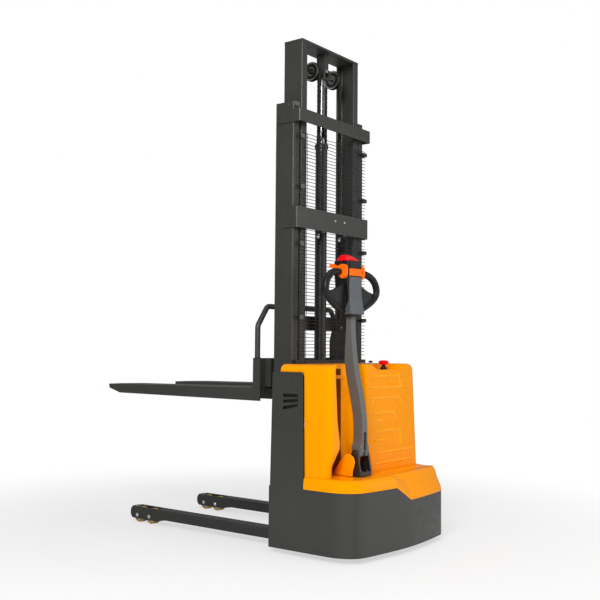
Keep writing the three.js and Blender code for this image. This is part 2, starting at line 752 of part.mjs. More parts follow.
// =====================================================================
// Ledge cover and fender
// =====================================================================
function ledgeCover() {
  const level = (distance, z, grow = 0) => ({ z, outline: closeFront(inset(REAR_OUTLINE, distance), SEAM_Y + grow) });
  const outer = loft([level(0, SKIRT_TOP_Z + GAP), level(3, 326), level(26, 354), level(36, LEDGE_TOP_Z)]);
  const wall = LEDGE_WALL;
  const inner = loft([level(wall, 300, 5), level(3 + wall, 324, 5), level(26 + wall, 351, 5), level(36 + wall, LEDGE_TOP_Z - wall, 5)]);
  const shell = cut(outer, inner);
  const skirtPart = cut(
    plate('z', closeFront(REAR_OUTLINE, -150), [200, SKIRT_TOP_Z + 2]),
    plate('z', closeFront(inset(REAR_OUTLINE, wall), -140), [190, 400]),
  );
  const fender = plate(
    'y',
    [
      [NOTCH_LEFT_X + 0.8, SKIRT_TOP_Z + GAP],
      [NOTCH_RIGHT_X + 0.4, NOTCH_LOW_Z + GAP],
      [SHELL_HALF + 20, NOTCH_LOW_Z + GAP],
      [SHELL_HALF + 20, SKIRT_TOP_Z + 2],
      [NOTCH_LEFT_X + 0.8, SKIRT_TOP_Z + 2],
    ],
    [-520, -240 - GAP],
  );
  const opening = box([-340, 340], [-210, SEAM_Y + 10], [340, 400]);
  const steerHole = rod('z', 44, [340, 400], STEER_X, STEER_Y);
  return cut(join(shell, skirtPart.intersect(fender)), opening, steerHole);
}

addNode('ledge_cover', 'amber', ledgeCover());

// =====================================================================
// Upper cover
// =====================================================================
function coverPlan(half, rearY, frontY) {
  const points = [
    [-half, rearY + 58],
    [-half + 8, rearY + 30],
    [-half + 28, rearY + 10],
    [-half + 58, rearY],
    [half - 58, rearY],
    [half - 28, rearY + 10],
    [half - 8, rearY + 30],
    [half, rearY + 58],
  ];
  return [...points, [half, frontY], [-half, frontY]];
}

function coverSolid(shrink, lift) {
  const low = coverPlan(COVER_HALF_LOW - shrink, COVER_REAR_LOW_Y + shrink, STRIP_FRONT_Y + shrink * 3);
  const high = coverPlan(COVER_HALF_HIGH - shrink, COVER_REAR_HIGH_Y + shrink, STRIP_FRONT_Y + shrink * 3);
  const body = loft([
    { z: COVER_LOW_Z - lift, outline: low },
    { z: COVER_TOP_Z - shrink, outline: high },
  ]);
  const half = COVER_HALF_LOW + 10;
  const top = COVER_TOP_Z - shrink;
  const section = [
    [-half, 300],
    [half, 300],
    [half, top - 46],
    [COVER_HALF_HIGH - shrink - 8, top - 22],
    [COVER_HALF_HIGH - shrink - 26, top - 6],
    [COVER_HALF_HIGH - shrink - 52, top],
    [-COVER_HALF_HIGH + shrink + 52, top],
    [-COVER_HALF_HIGH + shrink + 26, top - 6],
    [-COVER_HALF_HIGH + shrink + 8, top - 22],
    [-half, top - 46],
  ];
  return body.intersect(plate('y', section, [-400, 100]));
}

function upperCover() {
  const shell = cut(coverSolid(0, 0), coverSolid(COVER_WALL, 20));
  const recessBlock = box([RECESS.left - 4, RECESS.right + 4], [-400, RECESS.front + 4], [COVER_LOW_Z, COVER_TOP_Z - 1]);
  const recess = box([RECESS.left, RECESS.right], [-420, RECESS.front], [300, 900]);
  const belowStrip = box([-500, 500], [SEAM_Y + GAP, 100], [200, PANEL_TOP_Z + GAP]);
  const mastBay = box([-CROSSBAR_HALF - 8, CROSSBAR_HALF + 8], [COVER_FRONT_Y, 100], [200, 900]);
  const { front, floor, left, right } = STOP_POCKET;
  const pocketBlock = box([left[0] - 6, right[1] + 6], [-400, front + COVER_WALL], [floor - COVER_WALL, COVER_TOP_Z - 1]);
  const pocket = plate(
    'y',
    [
      [left[0], COVER_TOP_Z + 5],
      [left[1], floor],
      [right[0], floor],
      [right[1], COVER_TOP_Z + 5],
    ],
    [-420, front],
  );
  const blocks = join(recessBlock, pocketBlock).intersect(coverSolid(0, 0));
  return cut(join(shell, blocks), recess, pocket, belowStrip, mastBay);
}

addNode('upper_cover', 'amber', upperCover());

// =====================================================================
// Power pack inside the cover
// =====================================================================
addNode('battery', 'blackPlastic', box([-335, 335], [-190, FRAME_WALL_Y[0] - 2], [DECK_Z[1] + GAP, 540]));
addNode(
  'hydraulic_unit', 'casting',
  join(
    box([40, 330], [-185, -60], [541, 690]),
    rod('x', 52, [60, 250], -122, 745),
    box([110, 170], [-165, -85], [685, 720]),
  ),
);

// =====================================================================
// Drive unit, steering and caster
// =====================================================================
function driveUnit() {
  const turntable = rod('z', 92, [226, 244], STEER_X, STEER_Y);
  const cheekX = [STEER_X - DRIVE_HALF - 22, STEER_X - DRIVE_HALF - 2];
  const cheek = box(cheekX, [STEER_Y - 38, STEER_Y + 38], [70, 227]);
  const hub = rod('x', 22, [cheekX[1] - 1, STEER_X + DRIVE_HALF + 4], STEER_Y, DRIVE_R);
  const motor = rod('x', 40, [STEER_X + DRIVE_HALF + 3, STEER_X + 106], STEER_Y, DRIVE_R + 6);
  return join(turntable, cheek, hub, motor);
}

function driveWheel() {
  const x = [STEER_X - DRIVE_HALF, STEER_X + DRIVE_HALF];
  return cut(rod('x', DRIVE_R, x, STEER_Y, DRIVE_R, SEG_LARGE), rod('x', 22 + PIN_GAP * 2, [x[0] - 5, x[1] + 5], STEER_Y, DRIVE_R));
}

addSteered('drive_unit', 'casting', driveUnit());
addSteered('drive_wheel', 'darkTread', driveWheel());

function casterFork() {
  const axleY = CASTER_Y - CASTER_TRAIL;
  const crown = box([CASTER_X - 32, CASTER_X + 32], [CASTER_Y - 45, CASTER_Y + 30], [140, 150]);
  const cheeks = [-1, 1].map((side) =>
    plate(
      'x',
      [
        [axleY - 16, 48],
        [axleY + 16, 48],
        [CASTER_Y + 26, 141],
        [axleY - 10, 141],
      ],
      side < 0 ? [CASTER_X - 32, CASTER_X - 26] : [CASTER_X + 26, CASTER_X + 32],
    ),
  );
  const stem = rod('z', 12, [149, DECK_Z[1] - 1], CASTER_X, CASTER_Y);
  const flange = rod('z', 34, [149, 160], CASTER_X, CASTER_Y);
  const axle = rod('x', 8, [CASTER_X - 27, CASTER_X + 27], axleY, CASTER_R);
  return join(crown, ...cheeks, stem, flange, axle);
}

function casterWheel() {
  const axleY = CASTER_Y - CASTER_TRAIL;
  const x = [CASTER_X - CASTER_HALF, CASTER_X + CASTER_HALF];
  return cut(rod('x', CASTER_R, x, axleY, CASTER_R, SEG_LARGE), rod('x', 8 + PIN_GAP, [x[0] - 5, x[1] + 5], axleY, CASTER_R));
}

addNode('caster_fork', 'steel', casterFork());
addNode('caster_wheel', 'darkTread', casterWheel());

// =====================================================================
// Tiller
// =====================================================================
function tillerBase() {
  const shaft = rod('z', STEER_SHAFT_R, [244 + GAP, 372], STEER_X, STEER_Y);
  const foot = box([STEER_X - 42, STEER_X + 42], [-362, -262], [364, 384]);
  const ears = [-1, 1].map((side) =>
    plate(
      'x',
      [
        [-360, 383],
        [-292, 383],
        [TILT_Y + 18, TILT_Z + 8],
        [TILT_Y + 8, TILT_Z + 18],
        [TILT_Y - 8, TILT_Z + 18],
        [TILT_Y - 18, TILT_Z + 8],
      ],
      side < 0 ? [STEER_X - 42, STEER_X - 32] : [STEER_X + 32, STEER_X + 42],
    ),
  );
  const pin = rod('x', PIVOT_R, [STEER_X - 33, STEER_X + 33], TILT_Y, TILT_Z);
  return join(shaft, foot, ears[0], ears[1], pin);
}

// The arm's side profile, bottom to top: [y rear, y front, z].
const ARM_STATIONS = [
  [-352, -298, 452],
  [-356, -296, 500],
  [-354, -296, 590],
  [-346, -286, 665],
  [-333, -270, 735],
  [-313, -250, 803],
  [-298, -236, 876],
  [-290, -244, 946],
  [-285, -248, 1020],
  [-285, -248, 1135],
];

function tillerArm() {
  const rear = ARM_STATIONS.map(([y, , z]) => [y, z]);
  const front = ARM_STATIONS.map(([, y, z]) => [y, z]).reverse();
  const bar = plate('x', [...rear, ...front].reverse(), [STEER_X - ARM_HALF, STEER_X + ARM_HALF]);
  const collar = box([STEER_X - 31, STEER_X + 31], [-350, -300], [444, 500]);
  const bore = rod('x', PIVOT_R + PIN_GAP, [STEER_X - 50, STEER_X + 50], TILT_Y, TILT_Z);
  const slot = box([STEER_X - 8, STEER_X + 8], [-380, -334], [440, 560]);
  return cut(join(bar, collar), bore, slot);
}

const HEAD_PROFILE = [
  [HEAD_REAR_Y, HEAD_LOW_Z],
  [HEAD_REAR_Y, HEAD_HIGH_Z],
  [-197, HEAD_HIGH_Z],
  [-190, 1322],
  [-205, 1200],
  [-236, HEAD_LOW_Z],
];

function tillerHead() {
  const body = plate('x', [...HEAD_PROFILE].reverse(), [STEER_X - HEAD_HALF, STEER_X + HEAD_HALF]);
  const armSocket = box([STEER_X - ARM_HALF - GAP, STEER_X + ARM_HALF + GAP], [-285 - GAP, -248 + GAP], [HEAD_LOW_Z - 5, 1135 + GAP]);
  const throttleBore = rod('x', SHAFT_R + PIN_GAP, [STEER_X - 60, STEER_X + 60], THROTTLE_Y, THROTTLE_Z);
  const rockerPocket = box([STEER_X - ROCKER.half - 0.5, STEER_X + ROCKER.half + 0.5], [HEAD_REAR_Y - 5, ROCKER.front + 6], [ROCKER.z[0] - 1, ROCKER.z[1] + 1]);
  return cut(body, armSocket, throttleBore, rockerPocket);
}

// The handle loop: two D-shaped grips joined by a web plate under the head. The throttle's shaft turns in
// the grips' upper ends.
function handleLoop() {
  const outline = [
    [HEAD_HALF + 24, GRIP_Y, THROTTLE_Z],
    [100, GRIP_Y, 1291],
    [130, GRIP_Y - 3, 1283],
    [158, GRIP_Y - 8, 1266],
    [GRIP_X - 4, GRIP_Y - 11, 1240],
    [GRIP_X, GRIP_Y - 12, 1210],
    [168, GRIP_Y - 11, 1180],
    [144, GRIP_Y - 9, 1156],
    [104, GRIP_Y - 5, 1136],
    [68, GRIP_Y - 2, 1116],
    [30, GRIP_Y, 1106],
  ];
  const grips = SIDES.map(({ side }) => bar(outline.map(([dx, y, z]) => [STEER_X + side * dx, y, z]), GRIP_R, 18, SEG_SMALL));
  const webOutline = [
    [-60, 1104],
    [60, 1104],
    [100, 1128],
    [150, 1158],
    [172, 1196],
    [54, 1240],
    [54, HEAD_LOW_Z - 4],
    [-54, HEAD_LOW_Z - 4],
    [-54, 1240],
    [-172, 1196],
    [-150, 1158],
    [-100, 1128],
  ];
  const web = plate('y', webOutline.map(([dx, z]) => [STEER_X + dx, z]), [GRIP_Y - 14, GRIP_Y + 2]);
  const bridge = box([STEER_X - 40, STEER_X + 40], [-306, -232], [1086, HEAD_LOW_Z - 1]);
  const armHole = box([STEER_X - ARM_HALF - GAP, STEER_X + ARM_HALF + GAP], [-285 - GAP, -248 + GAP], [1000, 1200]);
  const shaftBore = rod('x', SHAFT_R + PIN_GAP, [STEER_X - 99, STEER_X + 99], THROTTLE_Y, THROTTLE_Z);
  return cut(join(...grips, web, bridge), armHole, shaftBore);
}

// Both thumb paddles on one shaft through the head, each with a rear and a front wing.
function throttle() {
  const shaft = rod('x', SHAFT_R, [STEER_X - 98, STEER_X + 98], THROTTLE_Y, THROTTLE_Z);
  const wings = [
    [-31, 24],
    [-33, -6],
    [-24, -29],
    [-6, -32],
    [12, -14],
    [32, 14],
    [62, 22],
    [68, 32],
    [58, 42],
    [28, 38],
    [4, 36],
    [-20, 36],
  ];
  const paddles = SIDES.map(({ side }) => {
    const edges = [STEER_X + side * (HEAD_HALF + 1), STEER_X + side * (HEAD_HALF + 22)];
    return plate('x', wings.map(([y, z]) => [THROTTLE_Y + y, THROTTLE_Z + z]), edges.sort((a, b) => a - b));
  });
  return join(shaft, ...paddles);
}

function bellyButton() {
  const plan = [
    [STEER_X - 50, -197],
    [STEER_X - 46, -240],
    [STEER_X - 46, -288],
    [STEER_X + 46, -288],
    [STEER_X + 46, -240],
    [STEER_X + 50, -197],
  ];
  const pad = plate('z', plan, [HEAD_HIGH_Z + 8, 1382]);
  const dome = plate(
    'x',
    [
      [-294, HEAD_HIGH_Z],
      [-197, HEAD_HIGH_Z],
      [-197, 1366],
      [-217, 1378],
      [-248, 1378],
      [-274, 1368],
      [-290, 1356],
    ],
    [STEER_X - 50, STEER_X + 50],
  );
  return pad.intersect(dome);
}

addSteered('tiller_base', 'armGrey', tillerBase());
addSteered('tiller_arm', 'armGrey', tillerArm());
addSteered('tiller_head', 'blackPlastic', tillerHead());
addSteered('handle_loop', 'blackPlastic', handleLoop());
addSteered('throttle', 'orange', throttle());
addSteered('belly_button', 'red', bellyButton());
addSteered('lift_rocker', 'orange', box([STEER_X - ROCKER.half, STEER_X + ROCKER.half], [ROCKER.rear, ROCKER.front], ROCKER.z));
addSteered('gas_spring', 'blackPlastic', join(rod('z', 6, [482, 552], STEER_X, -344, SEG_SMALL), rod('z', 3, [470, 483], STEER_X, -344, SEG_SMALL)));

// =====================================================================
// Emergency stop and key switch
// =====================================================================
function estopButton() {
  const stem = rod('z', 9, [ESTOP.z + 10, ESTOP.z + 26], ESTOP.x, ESTOP.y, SEG_SMALL);
  const cap = rod('z', 19, [ESTOP.z + 25, ESTOP.z + 37], ESTOP.x, ESTOP.y, SEG, 25);
  const crown = rod('z', 25, [ESTOP.z + 37, ESTOP.z + 45], ESTOP.x, ESTOP.y, SEG, 14);
  return join(stem, cap, crown);
}

addNode(
  'estop_base', 'blackPlastic',
  cut(
    rod('z', 17, [ESTOP.z, ESTOP.z + 14], ESTOP.x, ESTOP.y, SEG, 15),
    rod('z', 9.3, [ESTOP.z + 4, ESTOP.z + 20], ESTOP.x, ESTOP.y, SEG_SMALL),
  ),
);
addNode('estop_button', 'red', estopButton());
addNode('key_barrel', 'steel', rod('z', 11, [KEY.z, KEY.z + 4], KEY.x, KEY.y));
addNode(
  'key', 'steel',
  join(
    rod('z', 4, [KEY.z + 4 + GAP, KEY.z + 8], KEY.x, KEY.y, SEG_SMALL),
    box([KEY.x - 3, KEY.x + 3], [KEY.y - 11, KEY.y + 11], [KEY.z + 7, KEY.z + 16]),
  ),
);

// =====================================================================
// Origin: the centre of the bounding box on the floor
// =====================================================================
const REAR_Y = -462;
machine.position.y = -(REAR_Y + FORK_TIP_Y) / 2;
machine.updateMatrixWorld(true);

export default machine;
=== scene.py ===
"""Walkie stacker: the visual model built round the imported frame.

Metres, +Z up, +Y toward the fork tips. Names ending in _Y are distances from the mast's rear face.
"""
import math

import bmesh
import bpy
from mathutils import Matrix, Vector


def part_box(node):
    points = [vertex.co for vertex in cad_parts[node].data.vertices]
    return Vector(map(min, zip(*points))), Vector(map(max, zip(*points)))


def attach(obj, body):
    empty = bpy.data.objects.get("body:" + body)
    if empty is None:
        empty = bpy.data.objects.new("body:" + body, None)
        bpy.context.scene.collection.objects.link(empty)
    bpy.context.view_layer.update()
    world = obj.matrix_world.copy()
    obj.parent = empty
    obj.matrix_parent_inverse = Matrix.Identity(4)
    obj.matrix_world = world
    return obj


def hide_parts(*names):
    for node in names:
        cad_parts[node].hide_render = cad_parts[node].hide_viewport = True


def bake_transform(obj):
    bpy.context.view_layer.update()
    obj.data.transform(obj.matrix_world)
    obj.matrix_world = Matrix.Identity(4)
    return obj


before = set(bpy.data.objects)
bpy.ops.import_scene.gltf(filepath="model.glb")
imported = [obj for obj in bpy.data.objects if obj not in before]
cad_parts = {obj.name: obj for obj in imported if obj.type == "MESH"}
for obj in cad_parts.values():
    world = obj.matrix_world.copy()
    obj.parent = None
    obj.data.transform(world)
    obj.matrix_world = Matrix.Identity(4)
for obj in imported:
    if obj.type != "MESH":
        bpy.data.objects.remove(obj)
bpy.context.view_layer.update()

# ---------------------------------------------------------------- places taken from the frame
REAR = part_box("outer_rail_left")[0].y  # the outer mast's rear face, y = 0 in the names below
STEER = Vector((-0.195, REAR - 0.300, 0))
STEER_TURN = math.radians(-6)
SIDES = ((-1, "left"), (1, "right"))


def at(x, y, z):
    """A point given from the mast's rear face."""
    return Vector((x, REAR + y, z))


# ---------------------------------------------------------------- mesh building
class Build:
    """Collects closed shapes in one mesh. Points are given from the mast's rear face."""

    def __init__(self):
        self.bm = bmesh.new()
        self.slot = 0

    def skin(self, rings, closed=True, caps=True):
        """Joins rings of points, each with the same count, with quads."""
        rows = [[self.bm.verts.new(p) for p in ring] for ring in rings]
        count = len(rows[0])
        for a, b in zip(rows, rows[1:]):
            for i in range(count if closed else count - 1):
                j = (i + 1) % count
                self.face((a[i], a[j], b[j], b[i]))
        if caps:
            self.face(rows[0][::-1])
            self.face(rows[-1])
        return rows

    def face(self, verts):
        face = self.bm.faces.new(verts)
        face.material_index = self.slot
        return face

    def box(self, x, y, z):
        self.prism("z", rectangle(*x, *y), z)

    def prism(self, axis, outline, span):
        """An outline in (y, z) along x, (x, z) along y or (x, y) along z."""
        place = {
            "x": lambda u, v, w: at(w, u, v),
            "y": lambda u, v, w: at(u, w, v),
            "z": lambda u, v, w: at(u, v, w),
        }[axis]
        self.skin([[place(u, v, w) for u, v in outline] for w in span])

    def turned(self, axis, profile, a, b, segments=32, start=0.0):
        """A closed turned shape from a profile of (place along the axis, radius).

        a and b are the centre's other two coordinates.
        """
        rings = []
        for along, radius in profile:
            ring = []
            for i in range(segments):
                angle = start + 2 * math.pi * i / segments
                u, v = radius * math.cos(angle), radius * math.sin(angle)
                if axis == "x":
                    ring.append(at(along, a + u, b + v))
                elif axis == "y":
                    ring.append(at(a + u, along, b + v))
                else:
                    ring.append(at(a + u, b + v, along))
            rings.append(ring)
        self.skin(rings)

    def ringed(self, axis, profile, a, b, segments=48):
        """A turned shape with a bore: profile is a closed outline of (place along the axis, radius)."""
        rings = []
        for i in range(segments):
            angle = 2 * math.pi * i / segments
            ring = []
            for along, radius in profile:
                u, v = radius * math.cos(angle), radius * math.sin(angle)
                if axis == "x":
                    ring.append(at(along, a + u, b + v))
                elif axis == "y":
                    ring.append(at(a + u, along, b + v))
                else:
                    ring.append(at(a + u, b + v, along))
            rings.append(ring)
        self.skin(rings + [rings[0]], caps=False)
        bmesh.ops.remove_doubles(self.bm, verts=self.bm.verts[:], dist=1e-6)

    def rod(self, axis, radius, span, a, b, segments=24, chamfer=0.0, start=0.0):
        lo, hi = span
        c = min(chamfer, radius * 0.6, (hi - lo) * 0.4)
        if c > 0:
            profile = [(lo, radius - c), (lo + c, radius), (hi - c, radius), (hi, radius - c)]
        else:
            profile = [(lo, radius), (hi, radius)]
        self.turned(axis, profile, a, b, segments, start)

    def bolt(self, axis, size, face, a, b, out=1):
        """A washer and a hexagon head standing on a face, out along the axis."""
        washer = sorted((face, face + out * size * 0.2))
        head = sorted((face + out * size * 0.15, face + out * size * 0.85))
        self.rod(axis, size * 1.25, washer, a, b, 24, size * 0.06)
        self.rod(axis, size, head, a, b, 6, size * 0.14, 0.26)

    def tube(self, points, radius, sides=12, loop=False):
        """A round bar along points; radius may be one number or one for each point."""
        path = [at(*p) for p in points]
        radii = radius if isinstance(radius, (list, tuple)) else [radius] * len(path)
        rings = []
        normal = None
        last = len(path) - 1
        for i, p in enumerate(path):
            before = path[(i - 1) % len(path)] if loop else path[max(i - 1, 0)]
            after = path[(i + 1) % len(path)] if loop else path[min(i + 1, last)]
            along = (after - before).normalized()
            if normal is None:
                normal = along.orthogonal().normalized()
            normal = (normal - along * normal.dot(along)).normalized()
            side = along.cross(normal)
            ring = []
            for k in range(sides):
                angle = 2 * math.pi * k / sides
                ring.append(p + radii[i] * (math.cos(angle) * normal + math.sin(angle) * side))
            rings.append(ring)
        if loop:
            self.skin(rings + [rings[0]], caps=False)
            bmesh.ops.remove_doubles(self.bm, verts=self.bm.verts[:], dist=1e-6)
        else:
            self.skin(rings)

    def copy_node(self, node):
        """The CAD node's own shape with its split corners joined and flat faces made whole."""
        start = len(self.bm.verts)
        self.bm.from_mesh(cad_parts[node].data)
        self.bm.verts.ensure_lookup_table()
        fresh = self.bm.verts[start:]
        bmesh.ops.remove_doubles(self.bm, verts=fresh, dist=2e-5)
        bmesh.ops.dissolve_limit(
            self.bm, angle_limit=math.radians(0.6), verts=self.bm.verts[:], edges=self.bm.edges[:]
        )


def rectangle(left, right, low, high):
    """The corners of a rectangle, anticlockwise from the lower left."""
    return [(left, low), (right, low), (right, high), (left, high)]


def arc(cx, cy, radius, start, end, steps):
    """Points of an arc, angles in degrees."""
    turn = [math.radians(start + (end - start) * i / steps) for i in range(steps + 1)]
    return [(cx + radius * math.cos(t), cy + radius * math.sin(t)) for t in turn]


def rounded(points, radius, steps=4):
    """A closed outline with its corners rounded; radius may be one number or one for each corner."""
    count = len(points)
    radii = radius if isinstance(radius, (list, tuple)) else [radius] * count
    outline = []
    for i, point in enumerate(points):
        corner = Vector(point)
        before = (Vector(points[i - 1]) - corner).normalized()
        after = (Vector(points[(i + 1) % count]) - corner).normalized()
        angle = before.angle(after)
        if radii[i] <= 0 or angle > math.pi - 0.02:
            outline.append((corner.x, corner.y))
            continue
        reach = radii[i] / math.tan(angle / 2)
        centre = corner + (before + after).normalized() * (radii[i] / math.sin(angle / 2))
        first = corner + before * reach - centre
        turn = first.angle_signed(corner + after * reach - centre)
        for k in range(steps + 1):
            spun = Matrix.Rotation(-turn * k / steps, 2) @ first
            outline.append((centre.x + spun.x, centre.y + spun.y))
    return outline


def smooth_path(points, steps=8):
    """A Catmull-Rom line through points."""
    pts = [Vector(p) for p in points]
    pts = [2 * pts[0] - pts[1]] + pts + [2 * pts[-1] - pts[-2]]
    line = []
    for a, b, c, d in zip(pts, pts[1:], pts[2:], pts[3:]):
        for k in range(steps):
            t = k / steps
            square = 2 * a - 5 * b + 4 * c - d
            cube = 3 * b - a - 3 * c + d
            line.append(0.5 * ((2 * b) + (c - a) * t + square * t**2 + cube * t**3))
    line.append(pts[-2])
    return line


def steered(build):
    """Turns a shape drawn straight ahead to the tiller's resting angle."""
    turn = Matrix.Translation(STEER) @ Matrix.Rotation(STEER_TURN, 4, "Z") @ Matrix.Translation(-STEER)
    bmesh.ops.transform(build.bm, matrix=turn, verts=build.bm.verts[:])


def bevel(obj, width, segments=2, angle=28):
    modifier = obj.modifiers.new("edge", "BEVEL")
    modifier.width = width
    modifier.segments = segments
    modifier.limit_method = "ANGLE"
    modifier.angle_limit = math.radians(angle)
    modifier.harden_normals = False


def piece(name, build, body, materials, edge=0.0, segments=2, replaces=(), smooth=35, turned=False):
    """Makes the object, rounds its edges, and hands it to the frame."""
    if turned:
        steered(build)
    bmesh.ops.recalc_face_normals(build.bm, faces=build.bm.faces[:])
    mesh = bpy.data.meshes.new(name)
    build.bm.to_mesh(mesh)
    build.bm.free()
    obj = bpy.data.objects.new(name, mesh)
    bpy.context.scene.collection.objects.link(obj)
    for m in materials if isinstance(materials, (list, tuple)) else [materials]:
        mesh.materials.append(m)
    if edge > 0:
        bevel(obj, edge, segments)
    mesh.shade_smooth()
    if hasattr(mesh, "set_sharp_from_angle"):
        mesh.set_sharp_from_angle(angle=math.radians(smooth))
    if edge > 0:
        weighted = obj.modifiers.new("normals", "WEIGHTED_NORMAL")
        weighted.keep_sharp = True
        weighted.weight = 100
    if body:
        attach(obj, body)
    if replaces:
        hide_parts(*([replaces] if isinstance(replaces, str) else replaces))
    return obj


def refined(node, body, materials, edge, segments=2, extra=None):
    """The CAD node with rounded edges, and any detail that extra adds."""
    build = Build()
    build.copy_node(node)
    if extra:
        extra(build)
    return piece(f"{node}_skin", build, body, materials, edge, segments, node)


# ---------------------------------------------------------------- materials
class Shader:
    """One procedural material: a principled shader with noise in its colour, roughness and bump."""

    def __init__(self, name, color, roughness, metallic=0.0, **inputs):
        self.material = bpy.data.materials.new(name)
        self.material.use_nodes = True
        self.tree = self.material.node_tree
        self.bsdf = self.tree.nodes["Principled BSDF"]
        self.color = color
        self.set_input("Metallic", metallic)
        for key, value in inputs.items():
            self.set_input(key.replace("_", " ").title().replace("Ior", "IOR"), value)
        self.bsdf.inputs["Roughness"].default_value = roughness
        self.roughness = roughness
        self.bsdf.inputs["Base Color"].default_value = (*color, 1)
        coords = self.tree.nodes.new("ShaderNodeTexCoord")
        self.coords = coords.outputs["Object"]
        self.normal = None

    def set_input(self, name, value):
        self.bsdf.inputs[name].default_value = value

    def node(self, kind, **values):
        made = self.tree.nodes.new(kind)
        for key, value in values.items():
            if hasattr(made, key):
                setattr(made, key, value)
            else:
                made.inputs[key].default_value = value
        return made

    def link(self, source, target):
        self.tree.links.new(source, target)

    def noise(self, scale, detail=3.0, stretch=(1, 1, 1)):
        mapping = self.node("ShaderNodeMapping")
        mapping.inputs["Scale"].default_value = stretch
        self.link(self.coords, mapping.inputs["Vector"])
        made = self.node("ShaderNodeTexNoise", Scale=scale, Detail=detail)
        self.link(mapping.outputs["Vector"], made.inputs["Vector"])
        return made.outputs["Fac"]

    def spread(self, fac, low, high):
        """Maps a 0.3 to 0.7 noise onto a range."""
        made = self.node("ShaderNodeMapRange")
        made.inputs["From Min"].default_value = 0.3
        made.inputs["From Max"].default_value = 0.7
        made.inputs["To Min"].default_value = low
        made.inputs["To Max"].default_value = high
        self.link(fac, made.inputs["Value"])
        return made.outputs["Result"]

    def vary_color(self, fac, darker, lighter):
        """The base colour between two multiples of itself."""
        mix = self.node("ShaderNodeMix", data_type="RGBA")
        mix.inputs[6].default_value = (*(c * darker for c in self.color), 1)
        mix.inputs[7].default_value = (*(min(1, c * lighter) for c in self.color), 1)
        self.link(self.spread(fac, 0, 1), mix.inputs[0])
        self.link(mix.outputs[2], self.bsdf.inputs["Base Color"])
        self.shade = mix.outputs[2]
        return self

    def vary_roughness(self, fac, low, high):
        self.link(self.spread(fac, low, high), self.bsdf.inputs["Roughness"])
        return self

    def bump(self, fac, height, strength=1.0):
        made = self.node("ShaderNodeBump")
        made.inputs["Strength"].default_value = strength
        made.inputs["Distance"].default_value = height
        self.link(fac, made.inputs["Height"])
        if self.normal is not None:
            self.link(self.normal, made.inputs["Normal"])
        self.normal = made.outputs["Normal"]
        self.link(self.normal, self.bsdf.inputs["Normal"])
        return self

    def painted_edge_highlight(self, color, radius=0.0012, amount=0.5):
        """Lightens the edges in patches: a painted highlight where the rounded edges would catch the
        light.
        """
        rim = self.node("ShaderNodeBevel", samples=4)
        rim.inputs["Radius"].default_value = radius
        flat = self.node("ShaderNodeNewGeometry")
        dot = self.node("ShaderNodeVectorMath", operation="DOT_PRODUCT")
        self.link(rim.outputs["Normal"], dot.inputs[0])
        self.link(flat.outputs["Normal"], dot.inputs[1])
        mask = self.node("ShaderNodeMapRange")
        mask.inputs["From Min"].default_value = 0.97
        mask.inputs["From Max"].default_value = 0.86
        mask.inputs["To Max"].default_value = amount
        self.link(dot.outputs["Value"], mask.inputs["Value"])
        patchy = self.node("ShaderNodeMath", operation="MULTIPLY")
        self.link(mask.outputs["Result"], patchy.inputs[0])
        self.link(self.spread(self.noise(60), 0.1, 1), patchy.inputs[1])
        mix = self.node("ShaderNodeMix", data_type="RGBA")
        mix.inputs[7].default_value = (*color, 1)
        self.link(patchy.outputs[0], mix.inputs[0])
        self.link(self.shade, mix.inputs[6])
        self.link(mix.outputs[2], self.bsdf.inputs["Base Color"])
        return self


def powder_coat(name, color, roughness=0.42):
    s = Shader(name, color, roughness, 0.0, coat_weight=0.08, coat_roughness=0.3)
    s.vary_color(s.noise(7), 0.93, 1.07)
    s.vary_roughness(s.noise(30), roughness - 0.05, roughness + 0.08)
    s.bump(s.noise(700, 2), 0.00012, 0.5)
    # painted highlight: the edges are lightened in patches
    s.painted_edge_highlight([min(1, c * 2.2 + 0.02) for c in color], 0.0010, 0.45)
    return s.material


def moulded(name, color, roughness=0.28, coat=0.0):
    s = Shader(name, color, roughness, 0.0, coat_weight=coat, coat_roughness=0.12,
               specular_ior_level=0.38)
    s.set_input("Specular Tint",
                (*(0.25 * c + (0.75 if i == 0 else 0.0) for i, c in enumerate(color)), 1))
    s.vary_color(s.noise(4), 0.975, 1.02)
    s.vary_roughness(s.noise(25), roughness - 0.03, roughness + 0.04)
    s.bump(s.noise(300, 2), 0.00003, 0.2)
    return s.material


def grained(name, color, roughness=0.55):
    s = Shader(name, color, roughness, 0.0, specular_ior_level=0.28)
    s.vary_color(s.noise(12), 0.85, 1.2)
    s.vary_roughness(s.noise(60), roughness - 0.08, roughness + 0.08)
    cells = s.node("ShaderNodeTexVoronoi", Scale=900.0)
    s.link(s.coords, cells.inputs["Vector"])
    s.bump(cells.outputs["Distance"], 0.0001, 0.5)
    return s.material


def machined(name, color, roughness=0.3, stretch=(1, 1, 1), metallic=1.0):
    s = Shader(name, color, roughness, metallic)
    s.vary_color(s.noise(18), 0.85, 1.08)
    s.vary_roughness(s.noise(40), roughness - 0.08, roughness + 0.1)
    s.bump(s.noise(400, 2, stretch), 0.00006, 0.4)
    return s.material


def polyurethane(name, color, roughness=0.45):
    s = Shader(name, color, roughness, 0.0, subsurface_weight=0.15, subsurface_scale=0.004)
    s.vary_color(s.noise(28), 0.8, 1.08)
    s.vary_roughness(s.noise(70), roughness - 0.08, roughness + 0.15)
    s.bump(s.noise(220), 0.0002, 0.4)
    return s.material


